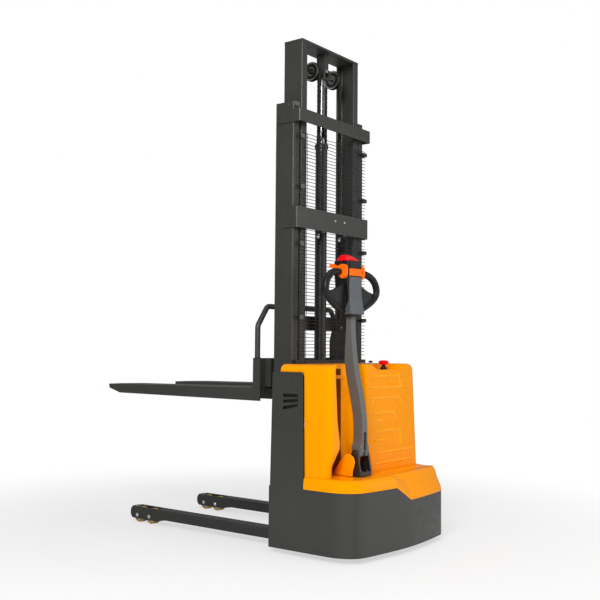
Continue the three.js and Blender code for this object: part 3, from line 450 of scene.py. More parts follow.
MAST = powder_coat("mast_powder_coat", (0.029, 0.0285, 0.0255))
SHELL = powder_coat("shell_powder_coat", (0.028, 0.028, 0.025), 0.38)
AMBER = moulded("amber_moulding", (0.98, 0.335, 0.0), 0.27)
# painted highlight: a lighter amber for the moulded lines, standing in for light catching their ridges
RIDGE_PAINTED_HIGHLIGHT = moulded("amber_ridge_painted_highlight", (1.0, 0.385, 0.005), 0.24)
LEG_PAINT = powder_coat("leg_powder_coat", (0.0135, 0.0132, 0.0120))
# painted shade: a dark brown for the sheet on the recess's deep wall, standing in for its shadow
RECESS_PAINTED_SHADE = moulded("painted_recess_shade", (0.150, 0.030, 0.0), 0.6)
WIRE = powder_coat("coated_wire", (0.006, 0.006, 0.006), 0.45)
CYLINDER = powder_coat("cylinder_paint", (0.011, 0.011, 0.011), 0.33)
CHROME = machined("hard_chrome", (0.30, 0.30, 0.32), 0.16, (1, 1, 0.05))
STEEL = machined("greased_steel", (0.42, 0.41, 0.40), 0.3)
ZINC = machined("zinc_plate", (0.62, 0.61, 0.58), 0.28)
CHAIN = machined("oiled_chain", (0.075, 0.070, 0.065), 0.36)
TREAD = polyurethane("amber_tread", (0.47, 0.30, 0.050))
DARK_TREAD = polyurethane("dark_tread", (0.03, 0.03, 0.032), 0.6)
BLACK = grained("black_plastic", (0.0050, 0.0050, 0.0055), 0.42)
RUBBER = grained("black_rubber", (0.018, 0.018, 0.018), 0.75)
ORANGE = moulded("orange_plastic", (0.96, 0.155, 0.004), 0.33)
RED = moulded("red_plastic", (0.78, 0.001, 0.006), 0.26, 0.12)
ARM = powder_coat("arm_paint", (0.098, 0.099, 0.093), 0.4)
COVER_GREY = powder_coat("head_cover_paint", (0.062, 0.072, 0.080), 0.34)
CASTING = powder_coat("casting_paint", (0.035, 0.034, 0.033), 0.55)


# ---------------------------------------------------------------- outer mast
OUTER_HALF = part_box("outer_rail_right")[1].x
OUTER_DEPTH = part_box("outer_rail_left")[1].y - REAR
OUTER_Z = (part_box("outer_rail_left")[0].z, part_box("outer_rail_left")[1].z)
CHANNEL_RADII = (0.006, 0.003, 0.003, 0.009, 0.009, 0.003, 0.003, 0.006)
RAIL_BOLT_Z = 2.1075
BAR_HALF = 0.303
BAR_PLATE = 0.0067


def channel(side, half, y, flange, web, thick):
    """A rolled channel's section in (x, y), open toward the middle of the mast."""
    outline = [
        (half, y[0]), (half - flange, y[0]), (half - flange, y[0] + thick), (half - web, y[0] + thick),
        (half - web, y[1] - thick), (half - flange, y[1] - thick), (half - flange, y[1]), (half, y[1]),
    ]
    return [(side * u, v) for u, v in rounded(outline, CHANNEL_RADII)]


def make_outer_rail(side, name):
    build = Build()
    build.prism("z", channel(side, OUTER_HALF, (0, OUTER_DEPTH), 0.046, 0.010, 0.012), OUTER_Z)
    for y in (0.036, 0.095):
        build.rod("x", 0.0075, sorted((side * 0.292, side * 0.2972)), y, RAIL_BOLT_Z, 6, 0.0012)
        build.rod("x", 0.0042, sorted((side * 0.2965, side * 0.2990)), y, RAIL_BOLT_Z, 12, 0.0008)
    piece(f"outer_rail_{name}_skin", build, "chassis", MAST, 0.0012, 2,
          f"outer_rail_{name}")


def bent_strap(rear, front, half, plate, radius):
    """The plan of a plate bent round the back of the mast, in (x, y)."""
    outer = rounded([(-half, front), (-half, rear), (half, rear), (half, front)],
                    [0, radius, radius, 0], 6)
    inner_half = half - plate
    inner = rounded(
        [(inner_half, front), (inner_half, rear + plate), (-inner_half, rear + plate),
         (-inner_half, front)],
        [0, radius - plate, radius - plate, 0], 6,
    )
    return outer + inner


def make_crossbar(name, rear, front, half, plate, z, extra=None):
    build = Build()
    build.prism("z", bent_strap(rear, front, half, plate, 0.012), z)
    if extra:
        extra(build)
    piece(f"{name}_skin", build, "chassis", [MAST, ZINC, STEEL], 0.0011, 2, name)


def screw_head(build, x, y, z, radius=0.0055):
    """A domed screw with a hexagon socket, facing backward."""
    build.slot = 1
    profile = [(y, radius), (y - 0.0016, radius), (y - 0.0032, radius * 0.8), (y - 0.0034, radius * 0.45),
               (y - 0.0016, radius * 0.40), (y - 0.0015, 0.0002)]
    build.turned("y", profile, x, z, 20)
    build.slot = 0


CHAIN_X = 0.090
CHAIN_REAR_Y = 0.0045
CHAIN_FRONT_Y = 0.0955


def chain_anchors(build):
    """A threaded rod with two nuts under a lug for each rear chain run."""
    for x in (-CHAIN_X, CHAIN_X):
        build.box((x - 0.012, x + 0.012), (-0.031, CHAIN_REAR_Y + 0.008), (1.504, 1.524))
        build.slot = 2
        build.rod("z", 0.0052, (1.478, 1.512), x, CHAIN_REAR_Y, 16, 0.0008)
        build.rod("z", 0.0085, (1.496, 1.504), x, CHAIN_REAR_Y, 6, 0.0012)
        build.rod("z", 0.0085, (1.484, 1.4945), x, CHAIN_REAR_Y, 6, 0.0012)
        build.slot = 0
    for x in (0.004, 0.084):
        screw_head(build, x, -0.0329, 1.574)


def top_bar_details(build):
    for side, _name in SIDES:
        for y in (0.030, 0.080):
            build.rod("x", 0.0058, sorted((side * 0.3005, side * 0.3062)), y, 2.053, 6, 0.0010)


for side, name in SIDES:
    make_outer_rail(side, name)
TOP_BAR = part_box("crossbar_top")
MID_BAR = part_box("crossbar_mid")
make_crossbar("crossbar_top", TOP_BAR[0].y - REAR, TOP_BAR[1].y - REAR, BAR_HALF, BAR_PLATE,
              (TOP_BAR[0].z, TOP_BAR[1].z), top_bar_details)
make_crossbar("crossbar_mid", MID_BAR[0].y - REAR, MID_BAR[1].y - REAR, BAR_HALF, BAR_PLATE,
              (1.512, MID_BAR[1].z), chain_anchors)
refined("crossbar_base", "chassis", MAST, 0.002)


def make_mast_lug():
    """The pale stop plate bolted to the left rail's rear face near its top."""
    build = Build()
    outline = rectangle(-0.291, -0.2535, 2.1015, 2.1225)
    build.prism("y", rounded(outline, 0.003), (-0.0062, -0.0002))
    build.bolt("y", 0.0045, -0.006, -0.272, 2.112, -1)
    piece("mast_stop_plate", build, "chassis", ARM, 0.0008)


make_mast_lug()


# ---------------------------------------------------------------- mesh guard
GUARD_Y = -0.017
WIRE_PITCH = 0.0167
GUARD_TOP = 1.982
WIRE_R = 0.00155


def guard_wire_spans(z):
    """Where a level wire runs; the middle crossbar and the chain anchors leave gaps in it."""
    if MID_BAR[0].z - 0.006 < z < 1.528:
        return ((-0.262, -0.108), (-0.072, 0.072), (0.108, 0.2925))
    return ((-0.262, 0.2925),)


def make_mesh_guard():
    build = Build()
    count = int((GUARD_TOP - 0.888) / WIRE_PITCH)
    for i in range(count):
        z = GUARD_TOP - 0.006 - i * WIRE_PITCH
        for a, b in guard_wire_spans(z):
            reach = b - a
            steps = max(4, int(reach / 0.03))
            line = []
            for k in range(steps + 1):
                x = a + reach * k / steps
                wave = 0.0011 * math.sin(x * 27 + i * 0.9) + 0.0007 * math.sin(x * 61 + i * 2.3)
                line.append((x, GUARD_Y, z + wave * math.sin(math.pi * k / steps)))
            build.tube(line, WIRE_R, 6)
    for x in (-0.258, -0.205, -0.130, -0.045, 0.045, 0.130, 0.205, 0.262):
        spans = [(0.884, MID_BAR[0].z - 0.004), (1.622, GUARD_TOP)]
        if abs(x) < 0.27:
            spans = [(0.884, GUARD_TOP)]
        for z in spans:
            steps = int((z[1] - z[0]) / 0.06)
            line = [
                (x + 0.0012 * math.sin(k * 0.7 + x * 40), GUARD_Y + 2 * WIRE_R,
                 z[0] + (z[1] - z[0]) * k / steps)
                for k in range(steps + 1)
            ]
            build.tube(line, WIRE_R, 6)
    piece("mesh_guard_wires", build, "chassis", WIRE, replaces="mesh_guard", smooth=60)


def make_guard_clips():
    pale = Build()
    dark = Build()
    for z in (1.960, 1.715, 1.440, 1.086):
        outline = rectangle(-0.262, -0.234, z - 0.010, z + 0.010)
        pale.prism("y", rounded(outline, 0.003), (-0.0215, -0.0195))
        pale.bolt("y", 0.0040, -0.0215, -0.248, z, -1)
        dark.box((0.262, 0.3020), (-0.0230, -0.0200), (z - 0.009, z + 0.009))
        dark.box((0.2990, 0.3025), (-0.0230, 0.006), (z - 0.009, z + 0.009))
        dark.bolt("y", 0.0040, -0.0230, 0.275, z, -1)
        for x in (-0.252, 0.270):
            dark.box((x - 0.004, x + 0.004), (-0.0200, -0.0001), (z - 0.006, z + 0.006))
    piece("guard_clips_left", pale, "chassis", ARM, 0.0006)
    piece("guard_clips_right", dark, "chassis", WIRE, 0.0006)


make_mesh_guard()
make_guard_clips()


def sill_detail(build):
    for x in (-0.22, 0.0, 0.22):
        build.bolt("y", 0.0045, -0.024, x, 0.8745, -1)


refined("guard_sill", "chassis", WIRE, 0.002, 3, sill_detail)


# ---------------------------------------------------------------- lift cylinder and rod
CYLINDER_Y = 0.053


def make_cylinder():
    lo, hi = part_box("lift_cylinder")
    build = Build()
    foot, top = lo.z, hi.z
    outline = [
        (foot, 0.020), (foot, 0.030), (foot + 0.03, 0.030), (foot + 0.031, 0.0297), (top - 0.060, 0.0297),
        (top - 0.0585, 0.030), (top - 0.024, 0.030), (top - 0.022, 0.0342), (top - 0.003, 0.0342),
        (top, 0.0315), (top, 0.0195), (top - 0.003, 0.0185), (top - 0.2, 0.0185), (foot + 0.02, 0.0185),
    ]
    build.ringed("z", outline, 0, CYLINDER_Y, 40)
    build.rod("y", 0.009, (CYLINDER_Y + 0.026, CYLINDER_Y + 0.044), 0.0, foot + 0.06, 20, 0.001)
    build.rod("z", 0.0255, (foot + 0.001, foot + 0.024), 0, CYLINDER_Y, 32)
    piece("cylinder_barrel", build, "chassis", CYLINDER, 0, replaces="lift_cylinder",
          smooth=30)
    wiper = Build()
    wiper.ringed("z", [(top - 0.0005, 0.0205), (top + 0.0025, 0.0200), (top + 0.0025, 0.0178),
                       (top - 0.001, 0.0178)],
                 0, CYLINDER_Y, 40)
    piece("rod_wiper", wiper, "chassis", RUBBER)


make_cylinder()
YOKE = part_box("lift_yoke")
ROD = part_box("piston_rod")


def make_rod():
    build = Build()
    build.rod("z", 0.0175, (ROD[0].z, YOKE[0].z + 0.001), 0, CYLINDER_Y, 48, 0.002)
    piece("chromed_rod", build, "inner_mast", CHROME, replaces="piston_rod", smooth=40)


make_rod()


# ---------------------------------------------------------------- inner mast
INNER = (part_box("inner_rail_right"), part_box("inner_top_plate"))
INNER_HALF = INNER[0][1].x
INNER_Y = (INNER[0][0].y - REAR, INNER[0][1].y - REAR)
INNER_Z = (INNER[0][0].z, INNER[0][1].z)


def make_inner_rail(side, name):
    build = Build()
    build.prism("z", channel(side, INNER_HALF, INNER_Y, 0.041, 0.009, 0.012), INNER_Z)
    piece(f"inner_rail_{name}_skin", build, "inner_mast", MAST, 0.0012, 2,
          f"inner_rail_{name}")


def make_top_plate():
    lo, hi = INNER[1]
    build = Build()
    y = (lo.y - REAR, hi.y - REAR)
    plan = rectangle(-INNER_HALF, INNER_HALF, *y)
    build.prism("z", rounded(plan, 0.004), (lo.z, hi.z))
    for side, _name in SIDES:
        bead = [(side * 0.2305, 0.008 + 0.012 * k, lo.z - 0.0012) for k in range(8)]
        build.tube(bead, 0.0035, 8)
    piece("inner_top_plate_skin", build, "inner_mast", MAST, 0.0016, 3, "inner_top_plate")


for side, name in SIDES:
    make_inner_rail(side, name)
    roller = f"mast_roller_{name}"
    refined(roller, roller, STEEL, 0.003, 3)
make_top_plate()
refined("inner_foot_tie", "inner_mast", MAST, 0.002, 2)

PULLEY_Y = 0.050
PULLEY_Z = 2.324


def make_yoke():
    lo, hi = YOKE
    build = Build()
    y = (lo.y - REAR, hi.y - REAR)
    for side, _name in SIDES:
        x = sorted((side * 0.018, side * 0.030))
        outline = rounded(rectangle(*y, lo.z, PULLEY_Z + 0.030), 0.008)
        build.prism("x", outline, x)
    build.box((-0.019, 0.019), (y[0] + 0.004, y[1] - 0.004), (lo.z, PULLEY_Z - 0.0115))
    build.box((-0.019, 0.019), (y[0] + 0.004, y[1] - 0.004), (PULLEY_Z + 0.0115, PULLEY_Z + 0.0295))
    build.box((-0.0158, 0.0158), (y[0] + 0.006, y[1] - 0.006), (PULLEY_Z + 0.029, hi.z))
    build.slot = 1
    build.bolt("y", 0.0065, y[0] + 0.004, -0.002, PULLEY_Z + 0.021, -1)
    piece("lift_yoke_block", build, "inner_mast", [MAST, ZINC], 0.0012, 2, "lift_yoke")


def make_axle():
    build = Build()
    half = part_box("pulley_axle")[1].x
    build.rod("x", 0.009, (-half, half), PULLEY_Y, PULLEY_Z, 32, 0.0015)
    for side, _name in SIDES:
        build.rod("x", 0.014, sorted((side * (half - 0.007), side * (half - 0.001))), PULLEY_Y,
                  PULLEY_Z, 6, 0.0015)
        ring = [(side * (half - 0.0085), 0.0165), (side * (half - 0.0070), 0.0165),
                (side * (half - 0.0070), 0.0093), (side * (half - 0.0085), 0.0093)]
        build.ringed("x", ring, PULLEY_Y, PULLEY_Z, 32)
    piece("pulley_axle_pin", build, "inner_mast", CHAIN, 0, replaces="pulley_axle",
          smooth=30)


def make_pulley(side, name):
    """A flanged chain wheel with a ball bearing pressed in its bore."""
    x = side * CHAIN_X
    build = Build()
    wheel = [(-0.011, 0.0225), (-0.011, 0.0455), (-0.0100, 0.0480), (-0.0085, 0.0480), (-0.0082, 0.0400),
             (-0.0075, 0.0380), (0.0075, 0.0380), (0.0082, 0.0400), (0.0085, 0.0480), (0.0100, 0.0480),
             (0.011, 0.0455), (0.011, 0.0225), (0.0095, 0.0215), (-0.0095, 0.0215)]
    build.ringed("x", [(x + u, r) for u, r in wheel], PULLEY_Y, PULLEY_Z, 64)
    build.slot = 1
    for face in (-1, 1):
        ring = [(face * 0.0106, 0.0400), (face * 0.0106, 0.0462), (face * 0.0114, 0.0462),
                (face * 0.0114, 0.0400)]
        build.ringed("x", [(x + u, r) for u, r in ring], PULLEY_Y, PULLEY_Z, 64)
    for lo, hi in ((0.0170, 0.0213), (0.0092, 0.0125)):
        race = [(-0.0094, lo), (-0.0094, hi), (0.0094, hi), (0.0094, lo)]
        build.ringed("x", [(x + u, r) for u, r in race], PULLEY_Y, PULLEY_Z, 48)
    build.slot = 2
    seal = [(-0.0082, 0.0126), (-0.0082, 0.0169), (0.0082, 0.0169), (0.0082, 0.0126)]
    build.ringed("x", [(x + u, r) for u, r in seal], PULLEY_Y, PULLEY_Z, 48)
    piece(f"chain_wheel_{name}", build, f"chain_pulley_{name}", [CHAIN, ZINC, RUBBER],
          replaces=f"chain_pulley_{name}", smooth=28)


make_yoke()
make_axle()
for side, name in SIDES:
    make_pulley(side, name)

# ---------------------------------------------------------------- lift chains
LINK = 0.0127
WRAP_R = 0.0445
INNER_PLATES = (-0.0055, -0.0018, 0.0018, 0.0055)
OUTER_PLATES = (-0.0073, -0.0036, 0.0, 0.0036, 0.0073)


def link_plate(build, a, b, across, x, thick):
    """One figure-of-eight chain plate between two pins a and b, in the plane square to x."""
    along = (b - a).normalized()
    waist = (a + b) / 2
    outline = []
    for centre, sign in ((a, -1), (b, 1)):
        for k in range(7):
            angle = math.radians(-90 + 30 * k)
            out = sign * math.cos(angle) * along + sign * math.sin(angle) * across
            outline.append(centre + 0.0052 * out)
        outline.append(waist + 0.0036 * sign * across)
    build.skin([[Vector((x + w, p.y, p.z)) for p in outline] for w in (-thick / 2, thick / 2)])


def chain_along(build, x, points, normals):
    """A leaf chain through pins at points, with plates side by side between each pair of pins."""
    for i, (a, b) in enumerate(zip(points, points[1:])):
        across = normals[i]
        for offset in INNER_PLATES if i % 2 else OUTER_PLATES:
            link_plate(build, a, b, across, x + offset, 0.0015)
    for p in points:
        build.rod("x", 0.0021, (x - 0.0092, x + 0.0092), p.y - REAR, p.z, 8)


WEIGHT_STEPS = (0.0, 0.04, 0.2, 0.8, 0.96, 1.0)


def chain_run(name, side, y, fixed_z, moving_z, node):
    """A straight run in short pieces between its two ends."""
    x = side * CHAIN_X
    span = moving_z - fixed_z
    count = round(abs(span) / LINK)
    pins = [at(0, y, fixed_z + span * k / count) for k in range(count + 1)]
    cuts = [round(w * count) for w in WEIGHT_STEPS]
    for part, (lo, hi) in enumerate(zip(cuts, cuts[1:])):
        build = Build()
        chain_along(build, x, pins[lo:hi + 1], [Vector((0, 1, 0))] * (hi - lo))
        obj = piece(f"{name}_part_{part}", build, None, CHAIN, smooth=30,
                    replaces=node if part == 0 else ())
        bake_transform(obj)


def chain_wrap(name, side):
    """The chain over the top of its wheel."""
    x = side * CHAIN_X
    count = 11
    points = []
    normals = []
    for k in range(count + 1):
        angle = math.pi * (1 - k / count)
        points.append(at(0, PULLEY_Y + WRAP_R * math.cos(angle), PULLEY_Z + WRAP_R * math.sin(angle)))
    for a, b in zip(points, points[1:]):
        along = (b - a).normalized()
        normals.append(Vector((0, -along.z, along.y)))
    build = Build()
    chain_along(build, x, points, normals)
    piece(f"chain_wrap_{name}", build, "inner_mast", CHAIN, smooth=30)


for side, name in SIDES:
    chain_run(f"rear_chain_{name}", side, CHAIN_REAR_Y + 0.001, 1.512, PULLEY_Z,
              f"chain_rear_{name}")
    chain_run(f"front_chain_{name}", side, CHAIN_FRONT_Y - 0.001, 1.108, PULLEY_Z,
              f"chain_front_{name}")
    chain_wrap(name, side)


# ---------------------------------------------------------------- moulded and pressed shells
PLAN = [
    (-0.394, -0.290), (-0.388, -0.332), (-0.372, -0.368), (-0.352, -0.397), (-0.324, -0.416),
    (-0.280, -0.428),
    (-0.180, -0.443), (-0.080, -0.455), (0.030, -0.462), (0.130, -0.459), (0.230, -0.451),
    (0.310, -0.442), (0.352, -0.435), (0.376, -0.424), (0.388, -0.404), (0.394, -0.372),
]
SEAM_Y = -0.131
SEAM_SLOPE = 0.034
SKIRT_LOW = 0.026
SKIRT_TOP = 0.306
PANEL_TOP = 0.829
NOTCH = ((-0.087, 0.306), (0.025, 0.240))
SHELL_WALL = 0.004
SIDE_HALF = 0.394
PANEL_LEAN = 0.012


def applied(obj):
    """The object's mesh with its modifiers made real; the object itself is removed."""
    graph = bpy.context.evaluated_depsgraph_get()
    mesh = bpy.data.meshes.new_from_object(obj.evaluated_get(graph))
    bpy.data.objects.remove(obj)
    return mesh


def loose(build, name):
    bmesh.ops.recalc_face_normals(build.bm, faces=build.bm.faces[:])
    mesh = bpy.data.meshes.new(name)
    build.bm.to_mesh(mesh)
    build.bm.free()
    obj = bpy.data.objects.new(name, mesh)
    bpy.context.scene.collection.objects.link(obj)
    return obj


def carved(build, wall, cutters):
    """Thickens an open surface inward and cuts it with closed shapes; gives a new Build."""
    obj = loose(build, "surface")
    if wall > 0:
        thicken = obj.modifiers.new("wall", "SOLIDIFY")
        thicken.thickness = wall
        thicken.offset = -1
        thicken.use_even_offset = False
        thicken.use_quality_normals = True
    tools = []
    for cutter in cutters:
        tool = loose(cutter, "cutter")
        carve = obj.modifiers.new("cut", "BOOLEAN")
        carve.operation = "DIFFERENCE"
        carve.solver = "EXACT"
        carve.object = tool
        tools.append(tool)
    mesh = applied(obj)
    for tool in tools:
        bpy.data.objects.remove(tool)
    result = Build()
    result.bm.from_mesh(mesh)
    bmesh.ops.dissolve_limit(
        result.bm, angle_limit=math.radians(0.3), verts=result.bm.verts[:], edges=result.bm.edges[:]
    )
    return result


def drawn_in(path, distance):
    """An open plan path moved inward, square to itself.

    distance may be one number or one for each point.
    """
    moved = []
    for i, p in enumerate(path):
        a, b = path[max(i - 1, 0)], path[min(i + 1, len(path) - 1)]
        length = math.hypot(b[0] - a[0], b[1] - a[1])
        d = distance[i] if isinstance(distance, list) else distance
        moved.append((p[0] - (b[1] - a[1]) / length * d, p[1] + (b[0] - a[0]) / length * d))
    return moved


def rear_path():
    """The smooth rear half of the plan outline, left to right."""
    return [(p.x, p.y) for p in smooth_path(PLAN, 4)]


def seam(z):
    """Where the side panel meets the yellow covers, leaning back toward the floor."""
    return SEAM_Y - 0.002 - (PANEL_TOP - z) * SEAM_SLOPE


def skirt_top(x, y):
    """The skirt's upper edge: level on the left, stepping down to the right across the rear face."""
    (x0, z0), (x1, z1) = NOTCH
    if y > -0.240 or x < x0:
        return z0
    if x > x1:
        return z1
    return z0 + (z1 - z0) * (x - x0) / (x1 - x0)


def box_cutter(x, y, z):
    build = Build()
    build.box(x, y, z)
    return build


# ---------------------------------------------------------------- lower shell
def with_points(path, xs):
    """The path with a point put in at each x on its rear part."""
    out = []
    for a, b in zip(path, path[1:]):
        out.append(a)
        for x in xs:
            if a[0] < x < b[0]:
                t = (x - a[0]) / (b[0] - a[0])
                out.append((x, a[1] + (b[1] - a[1]) * t))
    out.append(path[-1])
    return out


def side_run(side, ys):
    return [(side * SIDE_HALF, y) for y in ys]


def make_lower_shell():
    ys = [0.050, 0.044, -0.010, -0.070, seam(SKIRT_TOP), -0.170, -0.210, -0.239, -0.241]
    rear = with_points(rear_path(), (NOTCH[0][0], NOTCH[1][0]))
    path = side_run(-1, ys) + rear + side_run(1, ys[::-1])
    surface = Build()
    rows = []
    for k in range(9):
        t = k / 8
        rows.append([at(x, y, SKIRT_LOW + (skirt_top(x, y) - SKIRT_LOW) * t) for x, y in path])
    surface.skin(rows, closed=False, caps=False)
    panel_ys = ys[1:5]
    levels = [0, 0.03, 0.2, 0.4, 0.6, 0.8, 0.96, 1.0]
    for side, _name in SIDES:
        grid = []
        for t in levels:
            z = SKIRT_TOP + (PANEL_TOP - SKIRT_TOP) * t
            row_ys = [*panel_ys[:-1], seam(z)]
            grid.append([at(side * (SIDE_HALF - PANEL_LEAN * t), y, z) for y in row_ys])
        surface.skin(grid, closed=False, caps=False)
    bmesh.ops.remove_doubles(surface.bm, verts=surface.bm.verts[:], dist=1e-5)
    cutters = []
    for side, _name in SIDES:
        for rear_z, front_z in (((0.716, 0.731), (0.714, 0.730)), ((0.694, 0.709), (0.688, 0.7015)),
                                ((0.674, 0.686), (0.656, 0.6725))):
            outline = rounded([(-0.108, rear_z[0]), (-0.022, front_z[0]), (-0.022, front_z[1]),
                               (-0.108, rear_z[1])],
                              0.0022, 3)
            cutter = Build()
            cutter.prism("x", outline, sorted((side * 0.34, side * 0.42)))
            cutters.append(cutter)
    build = carved(surface, SHELL_WALL, cutters)
    piece("lower_shell_skin", build, "chassis", SHELL, 0.0014, 3, "lower_shell", smooth=40)
    # Black plates behind the vent slots: painted shade for the dark inside of the shell.
    shade_plate = Build()
    for side, _name in SIDES:
        shade_plate.box(sorted((side * 0.372, side * 0.377)), (-0.118, -0.010), (0.640, 0.745))
    piece("louvre_painted_shade", shade_plate, "chassis", BLACK, 0.001)


make_lower_shell()


# ---------------------------------------------------------------- ledge and fender
LEDGE_TOP = 0.360
SEAM_GAP = 0.0004
LEDGE_LOW = SKIRT_TOP + SEAM_GAP


def fender_share(x, y):
    """0 on the left part of the ledge, 1 on the chamfered fender at the right, with a slanted crease."""
    if y > -0.200 and x > 0:
        return 1.0
    return max(0.0, min(1.0, (x - NOTCH[0][0] + 0.006) / 0.030))


def ledge_profile(x, y):
    """The section at a plan point: (distance in, height) from the lower edge to the flat top."""
    tight = 0.30 + 0.70 * max(0.0, min(1.0, (-0.270 - y) / 0.060))
    low = skirt_top(x, y) + SEAM_GAP
    crease = fender_share(x, y)
    plain = [(0, low), (0, low + (0.322 - low) * 0.4), (0, 0.322), (0.0010, 0.3305), (0.0036, 0.3395),
             (0.0080, 0.3475), (0.0140, 0.3535), (0.0210, 0.3575), (0.0290, 0.3596), (0.0380, LEDGE_TOP)]
    rise = max(low + 0.012, 0.2525)
    sloped = [(0, low), (0, low + 0.006), (0.0004, rise), (0.0030, rise + 0.010), (0.0110, rise + 0.030),
              (0.0200, rise + 0.052), (0.0300, 0.3400), (0.0370, 0.3515), (0.0440, 0.3580),
              (0.0520, LEDGE_TOP)]
    return [
        ((a[0] + (b[0] - a[0]) * crease) * tight, a[1] + (b[1] - a[1]) * crease)
        for a, b in zip(plain, sloped)
    ]


def make_ledge():
    step = 0.012
    xs = [NOTCH[0][0] + step * k - 0.048 for k in range(14)]
    rear = with_points(rear_path(), sorted([NOTCH[0][0], NOTCH[1][0], *xs]))
    front = seam(LEDGE_LOW)
    ys = [front, -0.170, -0.210, -0.239, -0.241, -0.270]
    right_ys = [-0.345, -0.30, -0.26, -0.241, -0.239, -0.210, -0.170, front]
    path = side_run(-1, ys) + rear + side_run(1, right_ys)
    profiles = [ledge_profile(x, y) for x, y in path]
    surface = Build()
    rows = []
    for k in range(len(profiles[0])):
        ring = drawn_in(path, [p[k][0] for p in profiles])
        rows.append([at(x, y, profiles[i][k][1]) for i, (x, y) in enumerate(ring)])
    grid = surface.skin(rows, closed=False, caps=False)
    surface.face(grid[-1])
    cutters = [box_cutter((-0.340, 0.340), (-0.210, -0.05), (0.30, 0.42))]
    hole = Build()
    hole.rod("z", 0.044, (0.32, 0.40), STEER.x, STEER.y - REAR, 48)
    build = carved(surface, SHELL_WALL, cutters + [hole])
    return piece("ledge_cover_skin", build, "chassis", AMBER, 0.0009, 2, "ledge_cover",
                 smooth=38)


make_ledge()


# ---------------------------------------------------------------- upper cover
COVER_LOW = 0.3605
COVER_TOP = 0.865
RECESS_FRONT = -0.204


def between(z, table):
    """A value read off a table of (height, value) with straight lines between its rows."""
    for (z0, v0), (z1, v1) in zip(table, table[1:]):
        if z <= z1:
            t = max(0.0, (z - z0) / (z1 - z0))
            return v0 + (v1 - v0) * t
    return table[-1][1]


def cover_size(z):
    """Half width and rear face of the cover at a height."""
    t = (z - COVER_LOW) / (COVER_TOP - COVER_LOW)
    return 0.382 - 0.014 * t, -0.296 + 0.015 * t


# the tiller recess: its rear-left post, its deep wall and its right edge, by height
POST_BACK = ((0.36, 0.024), (0.41, 0.022), (0.49, 0.0), (0.87, 0.0))
POST_X = ((0.36, -0.362), (0.41, -0.358), (0.49, -0.322), (0.53, -0.322), (0.60, -0.337), (0.87, -0.347))
DEEP_LEFT = ((0.36, -0.292), (0.40, -0.290), (0.52, -0.240), (0.87, -0.250))
DEEP_RIGHT = ((0.36, -0.112), (0.42, -0.116), (0.50, -0.150), (0.87, -0.152))
MOUTH_RIGHT = ((0.36, -0.056), (0.42, -0.060), (0.50, -0.086), (0.87, -0.088))


def cover_outline(z, side_in, rear_in, front_y):
    """The cover's plan with the tiller recess in its rear; side_in and rear_in draw the faces inward."""
    half, rear = cover_size(z)
    post_y = rear + between(z, POST_BACK) + rear_in
    half -= side_in
    rear += rear_in
    post_x = max(between(z, POST_X), 0.024 - half) + 0.014
    corners = [
        (-half, front_y), (-half, post_y), (post_x, post_y), (between(z, DEEP_LEFT), RECESS_FRONT),
        (between(z, DEEP_RIGHT), RECESS_FRONT), (between(z, MOUTH_RIGHT), rear), (half, rear),
        (half, front_y),
    ]
    radii = [0, 0.026, 0.014, 0.016, 0.014, 0.014, 0.045, 0]
    return rounded(corners, radii, 8)


# shallow moulded lines on the rear face, as paths in (x, z)
LINES = (
    ((-0.030, 0.806), (0.204, 0.806)),
    ((-0.048, 0.753), (0.222, 0.753), (0.232, 0.762), (0.232, 0.790)),
    ((-0.031, 0.668), (-0.031, 0.695), (-0.022, 0.703), (0.190, 0.703), (0.214, 0.694), (0.233, 0.666)),
    ((-0.022, 0.631), (0.152, 0.631), (0.167, 0.620), (0.167, 0.600), (0.155, 0.590)),
    ((-0.030, 0.595), (0.040, 0.595)),
    ((-0.021, 0.545), (0.190, 0.545), (0.205, 0.535), (0.205, 0.470)),
    ((-0.026, 0.504), (0.060, 0.504)),
    ((-0.012, 0.444), (0.310, 0.444)),
    ((-0.029, 0.395), (0.301, 0.395)),
    ((0.213, 0.746), (0.213, 0.825)),
)
LINE_R = 0.0100
LINE_HEIGHT = 0.0026


def make_cover_lines():
    """The moulded lines, standing just proud of the rear face, in a lighter amber that is a painted
    highlight.
    """
    build = Build()
    for path in LINES:
        line = smooth_path(path, 4) if len(path) > 2 else [Vector(p) for p in path]
        build.tube([(p.x, cover_size(p.y)[1] + LINE_R - LINE_HEIGHT, p.y) for p in line], LINE_R, 16)
    piece("cover_lines", build, "chassis", RIDGE_PAINTED_HIGHLIGHT, smooth=60)


STOP_POCKET = ((-0.046, 0.870), (0.013, 0.8385), (0.226, 0.8375), (0.241, 0.870))
STOP_POCKET_FRONT = -0.218


